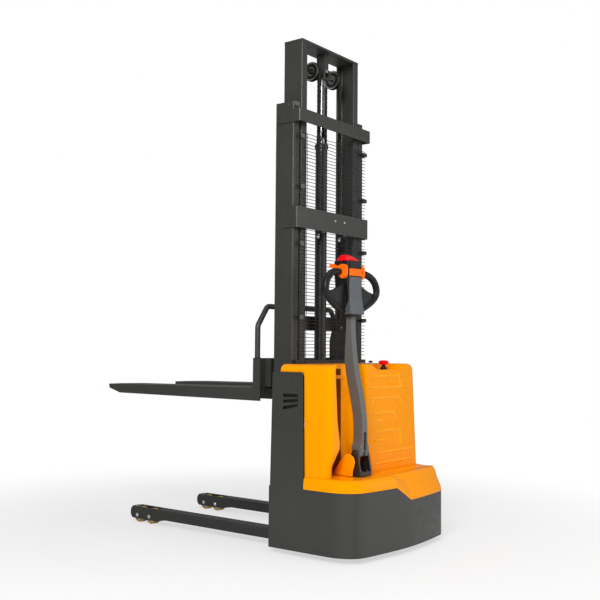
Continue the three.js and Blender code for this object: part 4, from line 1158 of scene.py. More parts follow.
def make_upper_cover():
    surface = Build()
    round_r = 0.034
    heights = (COVER_LOW, 0.375, 0.39, 0.41, 0.43, 0.45, 0.47, 0.49, 0.52, 0.56, 0.61, 0.69, 0.76, 0.800)
    levels = [(z, 0.0) for z in heights]
    for k in range(1, 9):
        turn = math.radians(90 * k / 8)
        levels.append((COVER_TOP - round_r + round_r * math.sin(turn), 1 - math.cos(turn)))
    rings = [
        [at(x, y, z) for x, y in cover_outline(z, round_r * ease, 0.010 * ease, 0.007 - 0.002 * ease)]
        for z, ease in levels
    ]
    grid = surface.skin(rings, caps=False)
    surface.face(grid[-1])
    pocket = Build()
    pocket.prism("y", rounded(list(STOP_POCKET), (0, 0.006, 0.006, 0), 4), (-0.40, STOP_POCKET_FRONT))
    below = Build()
    fillet = arc(SEAM_Y + 0.020, PANEL_TOP - 0.022 + 0.0006, 0.022, 180, 90, 6)
    lowest = 0.30
    outline = [(seam(lowest) + 0.0004, lowest)] + fillet + [(0.10, PANEL_TOP + 0.0006), (0.10, lowest)]
    below.prism("x", outline, (-0.5, 0.5))
    mast_bay = box_cutter((-0.311, 0.311), (-0.029, 0.10), (0.2, 0.95))
    build = carved(surface, SHELL_WALL, [mast_bay, below])
    floor = Build()
    floor.prism("y", [(-0.050, 0.8615), (0.010, 0.8345), (0.232, 0.8345), (0.246, 0.8615)],
                (-0.276, STOP_POCKET_FRONT + 0.004))
    build = joined(build, floor)
    build = carved(build, 0, [pocket])
    piece("upper_cover_skin", build, "chassis", AMBER, 0.0012, 3, "upper_cover",
          smooth=38)
    # A dark sheet on the deep wall of the tiller recess: painted shade where the recess falls in shadow.
    shade_sheet = Build()
    rows = []
    for z in (0.366, 0.39, 0.42, 0.46, 0.50, 0.56, 0.66, 0.76, 0.845):
        a = between(z, DEEP_LEFT) + 0.004
        b = a + 0.62 * (between(z, DEEP_RIGHT) - a)
        rows.append([at(a, RECESS_FRONT - 0.0030, z), at(b, RECESS_FRONT - 0.0030, z),
                     at(b, RECESS_FRONT + 0.0010, z), at(a, RECESS_FRONT + 0.0010, z)])
    shade_sheet.skin(rows)
    piece("recess_painted_shade_panel", shade_sheet, "chassis", RECESS_PAINTED_SHADE, 0.001)
    rib = Build()
    outline = rounded(rectangle(-0.245, -0.158, 0.798, 0.816), 0.004)
    rib.prism("y", outline, (RECESS_FRONT - 0.004, RECESS_FRONT + 0.001))
    piece("recess_rib", rib, "chassis", AMBER, 0.0015, 3)


def joined(first, second):
    """The union of two closed shapes."""
    body, other = loose(first, "first"), loose(second, "second")
    merge = body.modifiers.new("join", "BOOLEAN")
    merge.operation = "UNION"
    merge.solver = "EXACT"
    merge.object = other
    mesh = applied(body)
    bpy.data.objects.remove(other)
    result = Build()
    result.bm.from_mesh(mesh)
    return result


make_upper_cover()
make_cover_lines()


# ---------------------------------------------------------------- tiller, drawn straight ahead
SX = STEER.x
TILT_Y = -0.325
TILT_Z = 0.462
SPRING_Y = -0.344


def make_tiller_base():
    """The steering shaft's foot, its two ears and the tilt pin."""
    build = Build()
    build.rod("z", 0.030, (0.2444, 0.366), SX, STEER.y - REAR, 40, 0.001)
    plan = rectangle(SX - 0.042, SX + 0.042, -0.362, -0.262)
    build.prism("z", rounded(plan, 0.012), (0.3645, 0.384))
    for side, _name in SIDES:
        outline = rounded([
            (-0.360, 0.383), (-0.292, 0.383), (TILT_Y + 0.0185, TILT_Z + 0.004),
            (TILT_Y + 0.010, TILT_Z + 0.018),
            (TILT_Y - 0.010, TILT_Z + 0.018), (TILT_Y - 0.0185, TILT_Z + 0.004),
        ], (0.001, 0.001, 0.010, 0.010, 0.010, 0.010), 5)
        build.prism("x", outline, sorted((SX + side * 0.032, SX + side * 0.042)))
        build.slot = 1
        build.rod("x", 0.0125, sorted((SX + side * 0.0415, SX + side * 0.0465)), TILT_Y, TILT_Z, 6,
                  0.0012)
        build.slot = 0
        for y in (-0.350, -0.275):
            build.slot = 1
            build.rod("z", 0.0055, (0.3838, 0.3885), SX + side * 0.020, y, 6, 0.0010)
            build.slot = 0
    build.rod("x", 0.009, (SX - 0.033, SX + 0.033), TILT_Y, TILT_Z, 24, 0.001)
    piece("tiller_base_skin", build, "steering", [CYLINDER, CHAIN], 0.0012, 2,
          "tiller_base", turned=True)


def make_shroud():
    """Two yellow lobes that stand either side of the tiller base and turn with it."""
    build = Build()
    for side, _name in SIDES:
        lobe = smooth_path([
            (-0.210, 0.3625), (-0.214, 0.374), (-0.229, 0.397), (-0.248, 0.424), (-0.273, 0.452),
            (-0.298, 0.4615),
            (-0.322, 0.454), (-0.335, 0.434), (-0.333, 0.410), (-0.325, 0.388), (-0.323, 0.3625),
        ], 4)
        x = sorted((SX + side * 0.0475, SX + side * 0.0535))
        build.prism("x", [(p.x, p.y) for p in lobe], x)
    piece("tiller_shroud", build, "steering", AMBER, 0.0022, 3, turned=True)


ARM_STATIONS = (
    # (rear y, front y, z, half width)
    (-0.348, -0.302, 0.4530, 0.0285), (-0.351, -0.298, 0.4620, 0.0300),
    (-0.3525, -0.2965, 0.480, 0.0300),
    (-0.3545, -0.2955, 0.4960, 0.0290), (-0.3545, -0.2955, 0.5080, 0.0215),
    (-0.3545, -0.2955, 0.520, 0.0185),
    (-0.3545, -0.2960, 0.560, 0.0178), (-0.3535, -0.2955, 0.600, 0.0175),
    (-0.3500, -0.2910, 0.640, 0.0172),
    (-0.3430, -0.2835, 0.680, 0.0170), (-0.3330, -0.2720, 0.730, 0.0170),
    (-0.3200, -0.2590, 0.780, 0.0170),
    (-0.3080, -0.2480, 0.830, 0.0170), (-0.2985, -0.2400, 0.880, 0.0168),
    (-0.2925, -0.2400, 0.930, 0.0165),
    (-0.2870, -0.2440, 0.980, 0.0165), (-0.2835, -0.2475, 1.030, 0.0165),
    (-0.2825, -0.2490, 1.080, 0.0165),
    (-0.2850, -0.2480, 1.1345, 0.0165),
)


def make_arm():
    """A pressed box arm with a bow in it, forked at the foot round the gas spring."""
    build = Build()
    rings = []
    for rear, front, z, half in ARM_STATIONS:
        corners = rectangle(SX - half, SX + half, rear, front)
        rings.append([at(x, y, z) for x, y in rounded(corners, 0.0048, 3)])
    build.skin(rings)
    slot = Build()
    outline = rounded(rectangle(SX - 0.009, SX + 0.009, 0.430, 0.562), (0, 0, 0.0088, 0.0088), 6)
    slot.prism("y", outline, (-0.40, -0.333))
    bore = Build()
    bore.rod("x", 0.00925, (SX - 0.06, SX + 0.06), TILT_Y, TILT_Z, 32)
    build = carved(build, 0, [slot, bore])
    piece("tiller_arm_skin", build, "tiller", ARM, 0.0010, 2, "tiller_arm", turned=True)
    fittings = Build()
    for side, _name in SIDES:
        ring = [(SX + side * 0.0302, 0.0150), (SX + side * 0.0318, 0.0142), (SX + side * 0.0318, 0.0095),
                (SX + side * 0.0302, 0.0095)]
        fittings.ringed("x", ring, TILT_Y, TILT_Z, 32)
    piece("tiller_arm_washers", fittings, "tiller", BLACK, smooth=30, turned=True)


def make_gas_spring():
    """The return spring: a black tube and a bright rod in the arm's slot."""
    build = Build()
    profile = [(0.4835, 0.0030), (0.4840, 0.0058), (0.4865, 0.0064), (0.5480, 0.0064), (0.5510, 0.0055),
               (0.5515, 0.0030)]
    build.turned("z", profile, SX, SPRING_Y, 24)
    build.slot = 1
    build.rod("z", 0.0030, (0.4700, 0.4850), SX, SPRING_Y, 20, 0.0004)
    build.rod("x", 0.0035, (SX - 0.0080, SX + 0.0080), SPRING_Y, 0.4735, 16, 0.0004)
    piece("gas_spring_skin", build, "tiller", [BLACK, CHROME], 0,
          replaces="gas_spring", smooth=35, turned=True)


# ---------------------------------------------------------------- tiller head
THROTTLE = (-0.258, 1.292)
BELLY = (-0.288, -0.201)
BELLY_HALF = 0.0455
SOCKET_HALF = 0.0173
SOCKET_Y = (-0.2853, -0.2477)


def head_section(z):
    """The head at a height: (rear y, front y, half width)."""
    rear = between(z, ((1.128, -0.2895), (1.140, -0.2918), (1.325, -0.2918), (1.345, -0.2915)))
    front = between(z, ((1.128, -0.236), (1.200, -0.205), (1.322, -0.190), (1.345, -0.197)))
    half = between(z, ((1.128, 0.030), (1.150, 0.036), (1.200, 0.043), (1.240, 0.0495), (1.320, 0.050),
                       (1.345, 0.0495)))
    return rear, front, half


def make_head():
    build = Build()
    rings = []
    for z in (1.128, 1.131, 1.136, 1.142, 1.150, 1.165, 1.185, 1.205, 1.225, 1.245, 1.265, 1.290,
              1.310, 1.325, 1.334, 1.341, 1.345):
        rear, front, half = head_section(z)
        corners = rectangle(SX - half, SX + half, rear, front)
        rings.append([at(x, y, z) for x, y in rounded(corners, (0.014, 0.014, 0.018, 0.018), 6)])
    build.skin(rings)
    pocket = box_cutter((SX - 0.0425, SX + 0.0425), (-0.345, -0.277), (1.273, 1.309))
    socket = box_cutter((SX - SOCKET_HALF, SX + SOCKET_HALF), SOCKET_Y, (1.10, 1.1353))
    bore = Build()
    bore.rod("x", 0.0082, (SX - 0.06, SX + 0.06), *THROTTLE, 32)
    well = Build()
    edge = 0.001
    half = BELLY_HALF + edge
    corners = rectangle(SX - half, SX + half, BELLY[0] - edge, BELLY[1] + edge)
    well.prism("z", rounded(corners, 0.020, 7), (1.3370, 1.36))
    build = carved(build, 0, [pocket, socket, bore, well])
    piece("tiller_head_skin", build, "tiller", BLACK, 0.0016, 3, "tiller_head",
          turned=True)
    cover = Build()
    rings = []
    for z, half, rear, depth in ((1.0960, 0.0460, -0.3060, 0.0360), (1.0975, 0.0475, -0.3080, 0.0400),
                                 (1.1240, 0.0465, -0.3065, 0.0360), (1.1600, 0.0440, -0.3005, 0.0130),
                                 (1.2100, 0.0420, -0.2965, 0.0090), (1.2580, 0.0412, -0.2950, 0.0090),
                                 (1.2690, 0.0410, -0.2950, 0.0090), (1.2705, 0.0400, -0.2938, 0.0080)):
        corners = rectangle(SX - half, SX + half, rear, rear + depth)
        rings.append([at(x, y, z) for x, y in rounded(corners, (0.0055, 0.0055, 0.001, 0.001), 4)])
    cover.skin(rings)
    piece("tiller_head_cover", cover, "tiller", COVER_GREY, 0.0006, 2, turned=True)


def grip_line(side):
    """The grip's centre line, bowed rearward where the hands close on it."""
    outline = [
        (0.0735, -0.2580, 1.2920), (0.0870, -0.2580, 1.2920), (0.1040, -0.2585, 1.2910),
        (0.1260, -0.2605, 1.2850),
        (0.1470, -0.2640, 1.2740), (0.1640, -0.2670, 1.2590), (0.1755, -0.2690, 1.2390),
        (0.1810, -0.2700, 1.2160),
        (0.1785, -0.2700, 1.1970), (0.1680, -0.2690, 1.1790), (0.1500, -0.2670, 1.1620),
        (0.1280, -0.2645, 1.1470),
        (0.1040, -0.2620, 1.1340), (0.0780, -0.2600, 1.1210), (0.0500, -0.2585, 1.1110),
        (0.0240, -0.2580, 1.1060),
    ]
    return [(SX + side * p.x, p.y, p.z) for p in smooth_path(outline, 3)]


def make_handle():
    """The handle loop: a D-shaped grip each side of the head over a webbed foot."""
    build = Build()
    for side, _name in SIDES:
        line = grip_line(side)
        radii = []
        for i in range(len(line)):
            t = i / (len(line) - 1)
            radii.append(0.0150 + 0.0016 * math.sin(math.pi * min(1.0, t * 1.6)))
        build.tube(line, radii, 20)
    half_web = [(0.060, 1.104), (0.100, 1.128), (0.150, 1.158), (0.172, 1.196), (0.120, 1.208),
                (0.080, 1.226), (0.054, 1.246), (0.054, 1.124)]
    web = [(SX + x, z) for x, z in half_web] + [(SX - x, z) for x, z in reversed(half_web)]
    build.prism("y", rounded(web, 0.006, 4), (-0.2700, -0.2560))
    hub = Build()
    rings = []
    for z, grow in ((1.0860, -0.004), (1.0885, -0.001), (1.0930, 0.0), (1.1180, 0.0), (1.1245, -0.002),
                    (1.1270, -0.005)):
        half = 0.040 + grow
        corners = rectangle(SX - half, SX + half, -0.306 - grow, -0.232 + grow)
        rings.append([at(x, y, z) for x, y in rounded(corners, 0.016, 6)])
    hub.skin(rings)
    hub = carved(hub, 0, [box_cutter((SX - SOCKET_HALF, SX + SOCKET_HALF), SOCKET_Y, (1.0, 1.2))])
    piece("handle_hub", hub, "tiller", BLACK, 0.0014, 3, turned=True)
    piece("handle_loop_skin", build, "tiller", BLACK, 0.0010, 2, "handle_loop",
          turned=True, smooth=45)


def make_throttle():
    """Two orange thumb paddles on one shaft, each with a broad rear wing and a thinner front one."""
    y0, z0 = THROTTLE
    build = Build()
    for side, _name in SIDES:
        wings = [
            (-0.0315, 0.022), (-0.0330, 0.008), (-0.0325, -0.008), (-0.0285, -0.022), (-0.0190, -0.030),
            (-0.0070, -0.030), (0.0050, -0.021), (0.0140, -0.009), (0.0230, 0.005), (0.0340, 0.0145),
            (0.0480, 0.0185), (0.0610, 0.0225), (0.0670, 0.0310), (0.0620, 0.0390), (0.0500, 0.0400),
            (0.0380, 0.0345), (0.0260, 0.0290), (0.0140, 0.0275), (0.0020, 0.0320), (-0.0120, 0.0355),
            (-0.0250, 0.0320),
        ]
        line = smooth_path([*wings, wings[0]], 3)[:-1]
        x = sorted((SX + side * 0.0515, SX + side * 0.0710))
        build.prism("x", [(y0 + p.x, z0 + p.y) for p in line], x)
        for k in range(4):
            build.rod("x", 0.0016, sorted((SX + side * 0.0705, SX + side * 0.0718)),
                      y0 - 0.024 + 0.004 * k, z0 - 0.010 - 0.004 * k, 12, 0.0005)
    build.slot = 1
    build.rod("x", 0.008, (SX - 0.0975, SX + 0.0975), y0, z0, 32, 0.0010)
    piece("throttle_paddles", build, "throttle", [ORANGE, BLACK], 0.0034, 4,
          "throttle", turned=True)


def make_rocker():
    """The lift and lower rocker, dished across its middle."""
    low, high, half, rear = 1.2745, 1.3075, 0.0418, -0.2998
    build = Build()
    rings = []
    for k in range(17):
        z = low + (high - low) * k / 16
        t = abs(k / 8 - 1)
        edge = 0.0035 * (1 - t * t) + 0.002 * max(0, t - 0.75) * 4
        corners = rectangle(SX - half, SX + half, rear + edge, -0.2832)
        rings.append([at(x, y, z) for x, y in rounded(corners, 0.0028, 3)])
    build.skin(rings)
    piece("lift_rocker_skin", build, "lift_rocker", ORANGE, 0.0005, 2, "lift_rocker",
          turned=True)


def make_belly_button():
    """The domed red reversing button along the top of the head, lower toward the operator."""
    build = Build()
    rings = []
    for k in range(13):
        t = k / 12
        lift = math.sin(math.pi * t / 2)
        inset = 0.0480 * (1 - math.cos(math.pi * t / 2)) ** 1.15
        half = BELLY_HALF - inset * 0.90
        rear, front = BELLY[0] + inset, BELLY[1] - inset * 0.80
        corner = min(0.026, half * 0.92, (front - rear) * 0.45)
        ring = rounded(rectangle(SX - half, SX + half, rear, front), corner, 7)
        heights = []
        for x, y in ring:
            along = (y - BELLY[0]) / (BELLY[1] - BELLY[0])
            foot = 1.3440 + 0.0080 * lift * min(1.0, along * 1.5)
            crown = 0.0170 + 0.0110 * min(1.0, along * 1.6) - 0.0040 * max(0.0, along - 0.75) * 4
            heights.append(min(1.3778, foot + crown * lift))
        rings.append([at(x, y, z) for (x, y), z in zip(ring, heights)])
    build.skin(rings)
    piece("belly_button_dome", build, "belly_button", RED, 0, replaces="belly_button",
          turned=True, smooth=60)


make_tiller_base()
make_shroud()
make_arm()
make_gas_spring()
make_head()
make_handle()
make_throttle()
make_rocker()
make_belly_button()


# ---------------------------------------------------------------- emergency stop and key
def make_stop():
    lo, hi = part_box("estop_base")
    x, y, z = (lo.x + hi.x) / 2, (lo.y + hi.y) / 2 - REAR, lo.z
    base = Build()
    base.ringed("z", [(z, 0.0170), (z + 0.0050, 0.0170), (z + 0.0060, 0.0155), (z + 0.0130, 0.0148),
                      (z + 0.0140, 0.0138),
                      (z + 0.0140, 0.0094), (z + 0.004, 0.0094), (z + 0.003, 0.0050), (z, 0.0050)], x,
                      y, 48)
    base.ringed("z", [(z, 0.0168), (z, 0.0205), (z + 0.0022, 0.0205), (z + 0.0030, 0.0195),
                      (z + 0.0030, 0.0168)], x, y,
                48)
    piece("estop_base_skin", base, "chassis", BLACK, 0, replaces="estop_base", smooth=32)
    button = Build()
    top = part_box("estop_button")[1].z
    rim = top - 0.0085
    dome = [(rim - 0.0115, 0.0090), (rim - 0.0125, 0.0200), (rim - 0.0115, 0.0212),
            (rim - 0.0045, 0.0242), (rim, 0.0250), (rim + 0.0022, 0.0246)]
    for k in range(1, 8):
        turn = math.radians(90 * k / 7)
        dome.append((rim + 0.0022 + (top - rim - 0.0022) * math.sin(turn),
                     0.0005 + 0.0241 * math.cos(turn)))
    button.turned("z", dome, x, y, 48)
    button.slot = 1
    button.rod("z", 0.0088, (z + 0.0105, rim - 0.0108), x, y, 32, 0.0004)
    piece("estop_mushroom", button, "estop_button", [RED, BLACK], 0,
          replaces="estop_button", smooth=40)


def make_key():
    lo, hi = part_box("key_barrel")
    x, y, z = (lo.x + hi.x) / 2, (lo.y + hi.y) / 2 - REAR, lo.z
    barrel = Build()
    barrel.ringed("z", [(z, 0.0110), (z + 0.0020, 0.0110), (z + 0.0036, 0.0098), (z + 0.0040, 0.0060),
                        (z + 0.0034, 0.0035), (z, 0.0035)], x, y, 40)
    barrel.slot = 1
    barrel.box((x - 0.0035, x + 0.0035), (y - 0.0030, y + 0.0030), (z + 0.0005, z + 0.0030))
    piece("key_barrel_skin", barrel, "chassis", [ZINC, BLACK], 0,
          replaces="key_barrel", smooth=32)
    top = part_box("key")[1].z
    key = Build()
    key.rod("z", 0.0030, (z + 0.0044, z + 0.0085), x, y, 16, 0.0004)
    bow = rounded(rectangle(y - 0.0105, y + 0.0105, z + 0.0075, top), 0.0035, 5)
    key.prism("x", bow, (x - 0.0024, x + 0.0024))
    piece("key_blade", key, "key", CHAIN, 0.0007, 2, "key")


make_stop()
make_key()


# ---------------------------------------------------------------- carriage, forks and backrest
def carriage_detail(build):
    """Weld beads behind the fork shanks and the chain anchors' nuts on the tie."""
    for side, _name in SIDES:
        for k in range(9):
            z = 0.830 + 0.0062 * k
            build.rod("y", 0.0042, (0.1240, 0.1268), side * 0.1935, z, 8, 0.0008)
        x = side * CHAIN_X
        build.slot = 1
        build.rod("z", 0.0052, (1.0990, 1.1120), x, CHAIN_FRONT_Y - 0.001, 16, 0.0006)
        build.rod("z", 0.0082, (1.1000, 1.1070), x, CHAIN_FRONT_Y - 0.001, 6, 0.0010)
        for z in (0.858, 1.044):
            build.rod("x", 0.0100, sorted((side * 0.1760, side * 0.1802)), 0.050, z, 6, 0.0012)
        build.slot = 0


refined("carriage", "carriage", [MAST, ZINC], 0.0022, 3, carriage_detail)


def roller_piece(node, x, y, z, radius):
    """A mast roller: a crowned tyre with a shielded face on a stub."""
    side = 1 if x[1] > 0 else -1
    inner, outer = sorted((abs(x[0]), abs(x[1])))
    build = Build()
    profile = [
        (inner, 0.016), (inner, radius - 0.0060), (inner + 0.0015, radius - 0.0020),
        (inner + 0.0045, radius),
        (outer - 0.0045, radius), (outer - 0.0015, radius - 0.0020), (outer, radius - 0.0060),
        (outer, 0.016), (outer - 0.0015, 0.0145), (inner + 0.0015, 0.0145),
    ]
    build.ringed("x", [(side * u, r) for u, r in profile], y, z, 56)
    build.slot = 1
    seal = [(inner + 0.0008, 0.0175), (inner + 0.0008, radius - 0.0100),
            (inner - 0.0006, radius - 0.0110), (inner - 0.0006, 0.0165)]
    build.ringed("x", [(side * u, r) for u, r in seal], y, z, 48)
    build.slot = 0
    lo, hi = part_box(node)
    stub = (lo.x, hi.x)
    if side > 0:
        reach = (min(stub, key=abs), outer - 0.001)
    else:
        reach = (-outer + 0.001, max(stub))
    build.rod("x", 0.0140, reach, y, z, 32, 0.0012)
    piece(f"{node}_skin", build, node, [STEEL, RUBBER], 0, replaces=node, smooth=32)


for side, name in SIDES:
    for level, z in (("low", 0.858), ("high", 1.044)):
        span = (side * 0.204, side * 0.230)
        roller_piece(f"carriage_roller_{level}_{name}", sorted(span), 0.0503, z, 0.040)


def fork_detail(side):
    def detail(build):
        x = side * 0.254
        for z in (0.745, 0.862):
            for dx in (-0.052, 0.052):
                build.rod("y", 0.0095, (0.1570, 0.1579), x + dx, z, 24, 0.0004)
    return detail


for side, name in SIDES:
    refined(f"fork_{name}", "carriage", MAST, 0.0022, 3, fork_detail(side))


BACKREST_X = 0.333
BACKREST_Y = 0.180


def make_backrest():
    """A bent tube over the forks, welded to a pad at each foot."""
    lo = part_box("backrest")[0]
    half = [(BACKREST_X, lo.z), (BACKREST_X, 1.046), (0.262, 1.1415)]
    corners = [(-x, z) for x, z in half] + half[::-1]
    path = []
    for i, point in enumerate(corners):
        if i in (0, len(corners) - 1):
            path.append(point)
            continue
        here = Vector(point)
        before = (Vector(corners[i - 1]) - here).normalized()
        after = (Vector(corners[i + 1]) - here).normalized()
        reach = 0.014
        for k in range(5):
            t = k / 4
            a, b = here + before * reach * (1 - t), here + after * reach * t
            mixed = a * (1 - t) + b * t
            path.append((mixed.x, mixed.y))
    build = Build()
    build.tube([(x, BACKREST_Y, z) for x, z in path], 0.0132, 24)
    for side, _name in SIDES:
        for k in range(16):
            turn = 2 * math.pi * k / 16
            x, y = side * BACKREST_X + 0.0135 * math.cos(turn), BACKREST_Y + 0.0135 * math.sin(turn)
            build.rod("z", 0.0030, (lo.z, lo.z + 0.0030), x, y, 8, 0.0012)
    piece("backrest_tube", build, "carriage", MAST, 0, replaces="backrest", smooth=50)


make_backrest()


# ---------------------------------------------------------------- legs and load wheels
LOAD_AXLES = (1.053, 0.962)
AXLE_Z = 0.040


def leg_detail(side):
    def detail(build):
        for y in LOAD_AXLES:
            for x, out in ((side * 0.2884, side), (side * 0.2209, -side)):
                build.slot = 1
                face = x + out * 0.0015
                build.rod("x", 0.0068, sorted((x, x + out * 0.0034)), y, AXLE_Z, 24, 0.0010)
                ring = [(face - out * 0.0012, 0.0100), (face, 0.0100), (face, 0.0069),
                        (face - out * 0.0012, 0.0069)]
                build.ringed("x", ring, y, AXLE_Z, 24)
                build.slot = 0
        for y in (0.902, 1.0975):
            build.box(sorted((side * 0.2300, side * 0.2795)), (y, y + 0.0035), (0.0785, 0.0828))
    return detail


for side, name in SIDES:
    refined(f"leg_{name}", "chassis", [LEG_PAINT, ZINC], 0.0018, 3, leg_detail(side))


def make_load_wheel(node):
    """A polyurethane tyre on a steel hub with a bearing each side."""
    lo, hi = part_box(node)
    x, y = (lo.x + hi.x) / 2, (lo.y + hi.y) / 2 - REAR
    half, radius = (hi.x - lo.x) / 2, (hi.z - lo.z) / 2
    build = Build()
    tyre = [(-half, 0.0300), (-half, radius - 0.0060), (-half + 0.0015, radius - 0.0022),
            (-half + 0.0045, radius),
            (half - 0.0045, radius), (half - 0.0015, radius - 0.0022), (half, radius - 0.0060),
            (half, 0.0300)]
    build.ringed("x", [(x + u, r) for u, r in tyre], y, AXLE_Z, 64)
    build.slot = 1
    hub = [(-half + 0.0012, 0.0165), (-half + 0.0012, 0.0302), (half - 0.0012, 0.0302),
           (half - 0.0012, 0.0165)]
    build.ringed("x", [(x + u, r) for u, r in hub], y, AXLE_Z, 48)
    for lo_r, hi_r in ((0.0072, 0.0098), (0.0140, 0.0166)):
        race = [(-half + 0.0006, lo_r), (-half + 0.0006, hi_r), (half - 0.0006, hi_r),
                (half - 0.0006, lo_r)]
        build.ringed("x", [(x + u, r) for u, r in race], y, AXLE_Z, 40)
    build.slot = 2
    seal = [(-half + 0.0020, 0.0097), (-half + 0.0020, 0.0141), (half - 0.0020, 0.0141),
            (half - 0.0020, 0.0097)]
    build.ringed("x", [(x + u, r) for u, r in seal], y, AXLE_Z, 40)
    piece(f"{node}_tyre", build, node, [TREAD, STEEL, RUBBER], 0, replaces=node,
          smooth=32)


for side, name in SIDES:
    for place in ("front", "rear"):
        make_load_wheel(f"load_wheel_{place}_{name}")


# ---------------------------------------------------------------- chassis, drive and power pack
def frame_detail(build):
    """Bolt heads on the cross wall and gussets under the deck."""
    for side, _name in SIDES:
        for z in (0.42, 0.52):
            build.bolt("y", 0.0070, -0.0420, side * 0.322, z, -1)
        build.prism("x", [(-0.0425, 0.2985), (-0.1200, 0.2985), (-0.0425, 0.2200)],
                    sorted((side * 0.300, side * 0.306)))
    for side, _name in SIDES:
        build.bolt("z", 0.0070, 0.3050, side * 0.344, -0.230, 1)


refined("chassis_frame", "chassis", MAST, 0.0018, 2, frame_detail)


def battery_detail(build):
    lo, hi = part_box("battery")
    y = (lo.y - REAR, hi.y - REAR)
    for k in range(8):
        x = -0.28 + 0.08 * k
        build.box((x, x + 0.010), (y[0] - 0.0025, y[0] + 0.001), (lo.z + 0.03, hi.z - 0.05))
    for side, _name in SIDES:
        build.tube([(side * 0.240, -0.117 + 0.045 * math.cos(t), hi.z - 0.002 + 0.0013 * math.sin(t))
                    for t in (0, 1.05, 2.1, 3.14)], 0.0022, 8)


refined("battery", "chassis", BLACK, 0.006, 3, battery_detail)


PUMP_Y = -0.122
PUMP_Z = 0.745


def pack_detail(build):
    """Cooling fins round the pump motor, bolts on its face and the tank's filler cap."""
    for k in range(11):
        x = 0.075 + 0.0155 * k
        build.rod("x", 0.0545, (x, x + 0.0050), PUMP_Y, PUMP_Z, 40, 0.0008)
    for k in range(6):
        turn = 2 * math.pi * k / 6
        y, z = PUMP_Y + 0.038 * math.cos(turn), PUMP_Z + 0.038 * math.sin(turn)
        build.bolt("x", 0.0040, 0.0600, y, z, -1)
    build.rod("z", 0.016, (0.6895, 0.7010), 0.275, PUMP_Y, 24, 0.002)


refined("hydraulic_unit", "chassis", CASTING, 0.004, 3, pack_detail)


def drive_detail(build):
    y = STEER.y - REAR
    x = STEER.x
    for k in range(8):
        turn = 2 * math.pi * k / 8
        build.bolt("z", 0.0055, 0.2260, x + 0.076 * math.cos(turn), y + 0.076 * math.sin(turn), -1)
    for k in range(6):
        build.rod("x", 0.0415, (x + 0.0480 + 0.009 * k, x + 0.0515 + 0.009 * k), y, 0.111, 36, 0.0006)


def refined_turned(node, body, materials, edge, extra=None):
    """As refined, for a node already at its steering angle with details drawn straight ahead."""
    skin = Build()
    skin.copy_node(node)
    piece(f"{node}_skin", skin, body, materials, edge, 2, node)
    if extra:
        fittings = Build()
        extra(fittings)
        piece(f"{node}_fittings", fittings, body, materials, 0.0006, 2, turned=True)


refined_turned("drive_unit", "steering", CASTING, 0.003, drive_detail)


def make_drive_wheel():
    x, y, z, half, radius = STEER.x, STEER.y - REAR, 0.105, 0.035, 0.105
    build = Build()
    tyre = [(-half, 0.084), (-half, radius - 0.006), (-half + 0.005, radius), (half - 0.005, radius),
            (half, radius - 0.006), (half, 0.084)]
    build.ringed("x", [(x + u, r) for u, r in tyre], y, z, 72)
    build.slot = 1
    rim = [(-half + 0.003, 0.0226), (-half + 0.003, 0.036), (-half + 0.012, 0.044),
           (-half + 0.012, 0.070),
           (-half + 0.002, 0.076), (-half + 0.002, 0.0845), (half - 0.002, 0.0845), (half - 0.002, 0.076),
           (half - 0.012, 0.070), (half - 0.012, 0.044), (half - 0.003, 0.036), (half - 0.003, 0.0226)]
    build.ringed("x", [(x + u, r) for u, r in rim], y, z, 56)
    for k in range(5):
        turn = 2 * math.pi * k / 5
        build.bolt("x", 0.0055, x - half + 0.012, y + 0.056 * math.cos(turn),
                   z + 0.056 * math.sin(turn), -1)
    piece("drive_wheel_tyre", build, "drive_wheel", [DARK_TREAD, CASTING], 0,
          replaces="drive_wheel", smooth=32, turned=True)


make_drive_wheel()


def caster_detail(build):
    for side, _name in SIDES:
        build.bolt("x", 0.0085, 0.225 + side * 0.032, -0.325, 0.062, side)
    for k in range(4):
        turn = math.radians(45 + 90 * k)
        build.bolt("z", 0.0045, 0.160, 0.225 + 0.0255 * math.cos(turn),
                   -0.290 + 0.0255 * math.sin(turn), 1)


refined("caster_fork", "caster_fork", ZINC, 0.0016, 2, caster_detail)


def make_caster_wheel():
    lo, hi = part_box("caster_wheel")
    x, y = (lo.x + hi.x) / 2, (lo.y + hi.y) / 2 - REAR
    half, radius = (hi.x - lo.x) / 2, (hi.z - lo.z) / 2
    build = Build()
    tyre = [(-half, 0.044), (-half, radius - 0.006), (-half + 0.005, radius), (half - 0.005, radius),
            (half, radius - 0.006), (half, 0.044)]
    build.ringed("x", [(x + u, r) for u, r in tyre], y, radius, 64)
    build.slot = 1
    hub = [(-half + 0.001, 0.0083), (-half + 0.001, 0.018), (-half + 0.008, 0.024),
           (-half + 0.008, 0.038), (-half + 0.002, 0.0445), (half - 0.002, 0.0445), (half - 0.008, 0.038),
           (half - 0.008, 0.024), (half - 0.001, 0.018), (half - 0.001, 0.0083)]
    build.ringed("x", [(x + u, r) for u, r in hub], y, radius, 48)
    piece("caster_tyre", build, "caster_wheel", [DARK_TREAD, BLACK], 0,
          replaces="caster_wheel", smooth=32)


make_caster_wheel()


# ---------------------------------------------------------------- floor, light and camera
CAMERA_AT = Vector((-3.6229, REAR - 2.6332, 0.9378))
CAMERA_TURN = math.radians(-52.8057)
CAMERA_RISE = math.radians(3.3797)
CAMERA_ROLL = math.radians(0.4422)
LENS = 53.8793
LENS_SHIFT = (-0.017444, -0.007532)


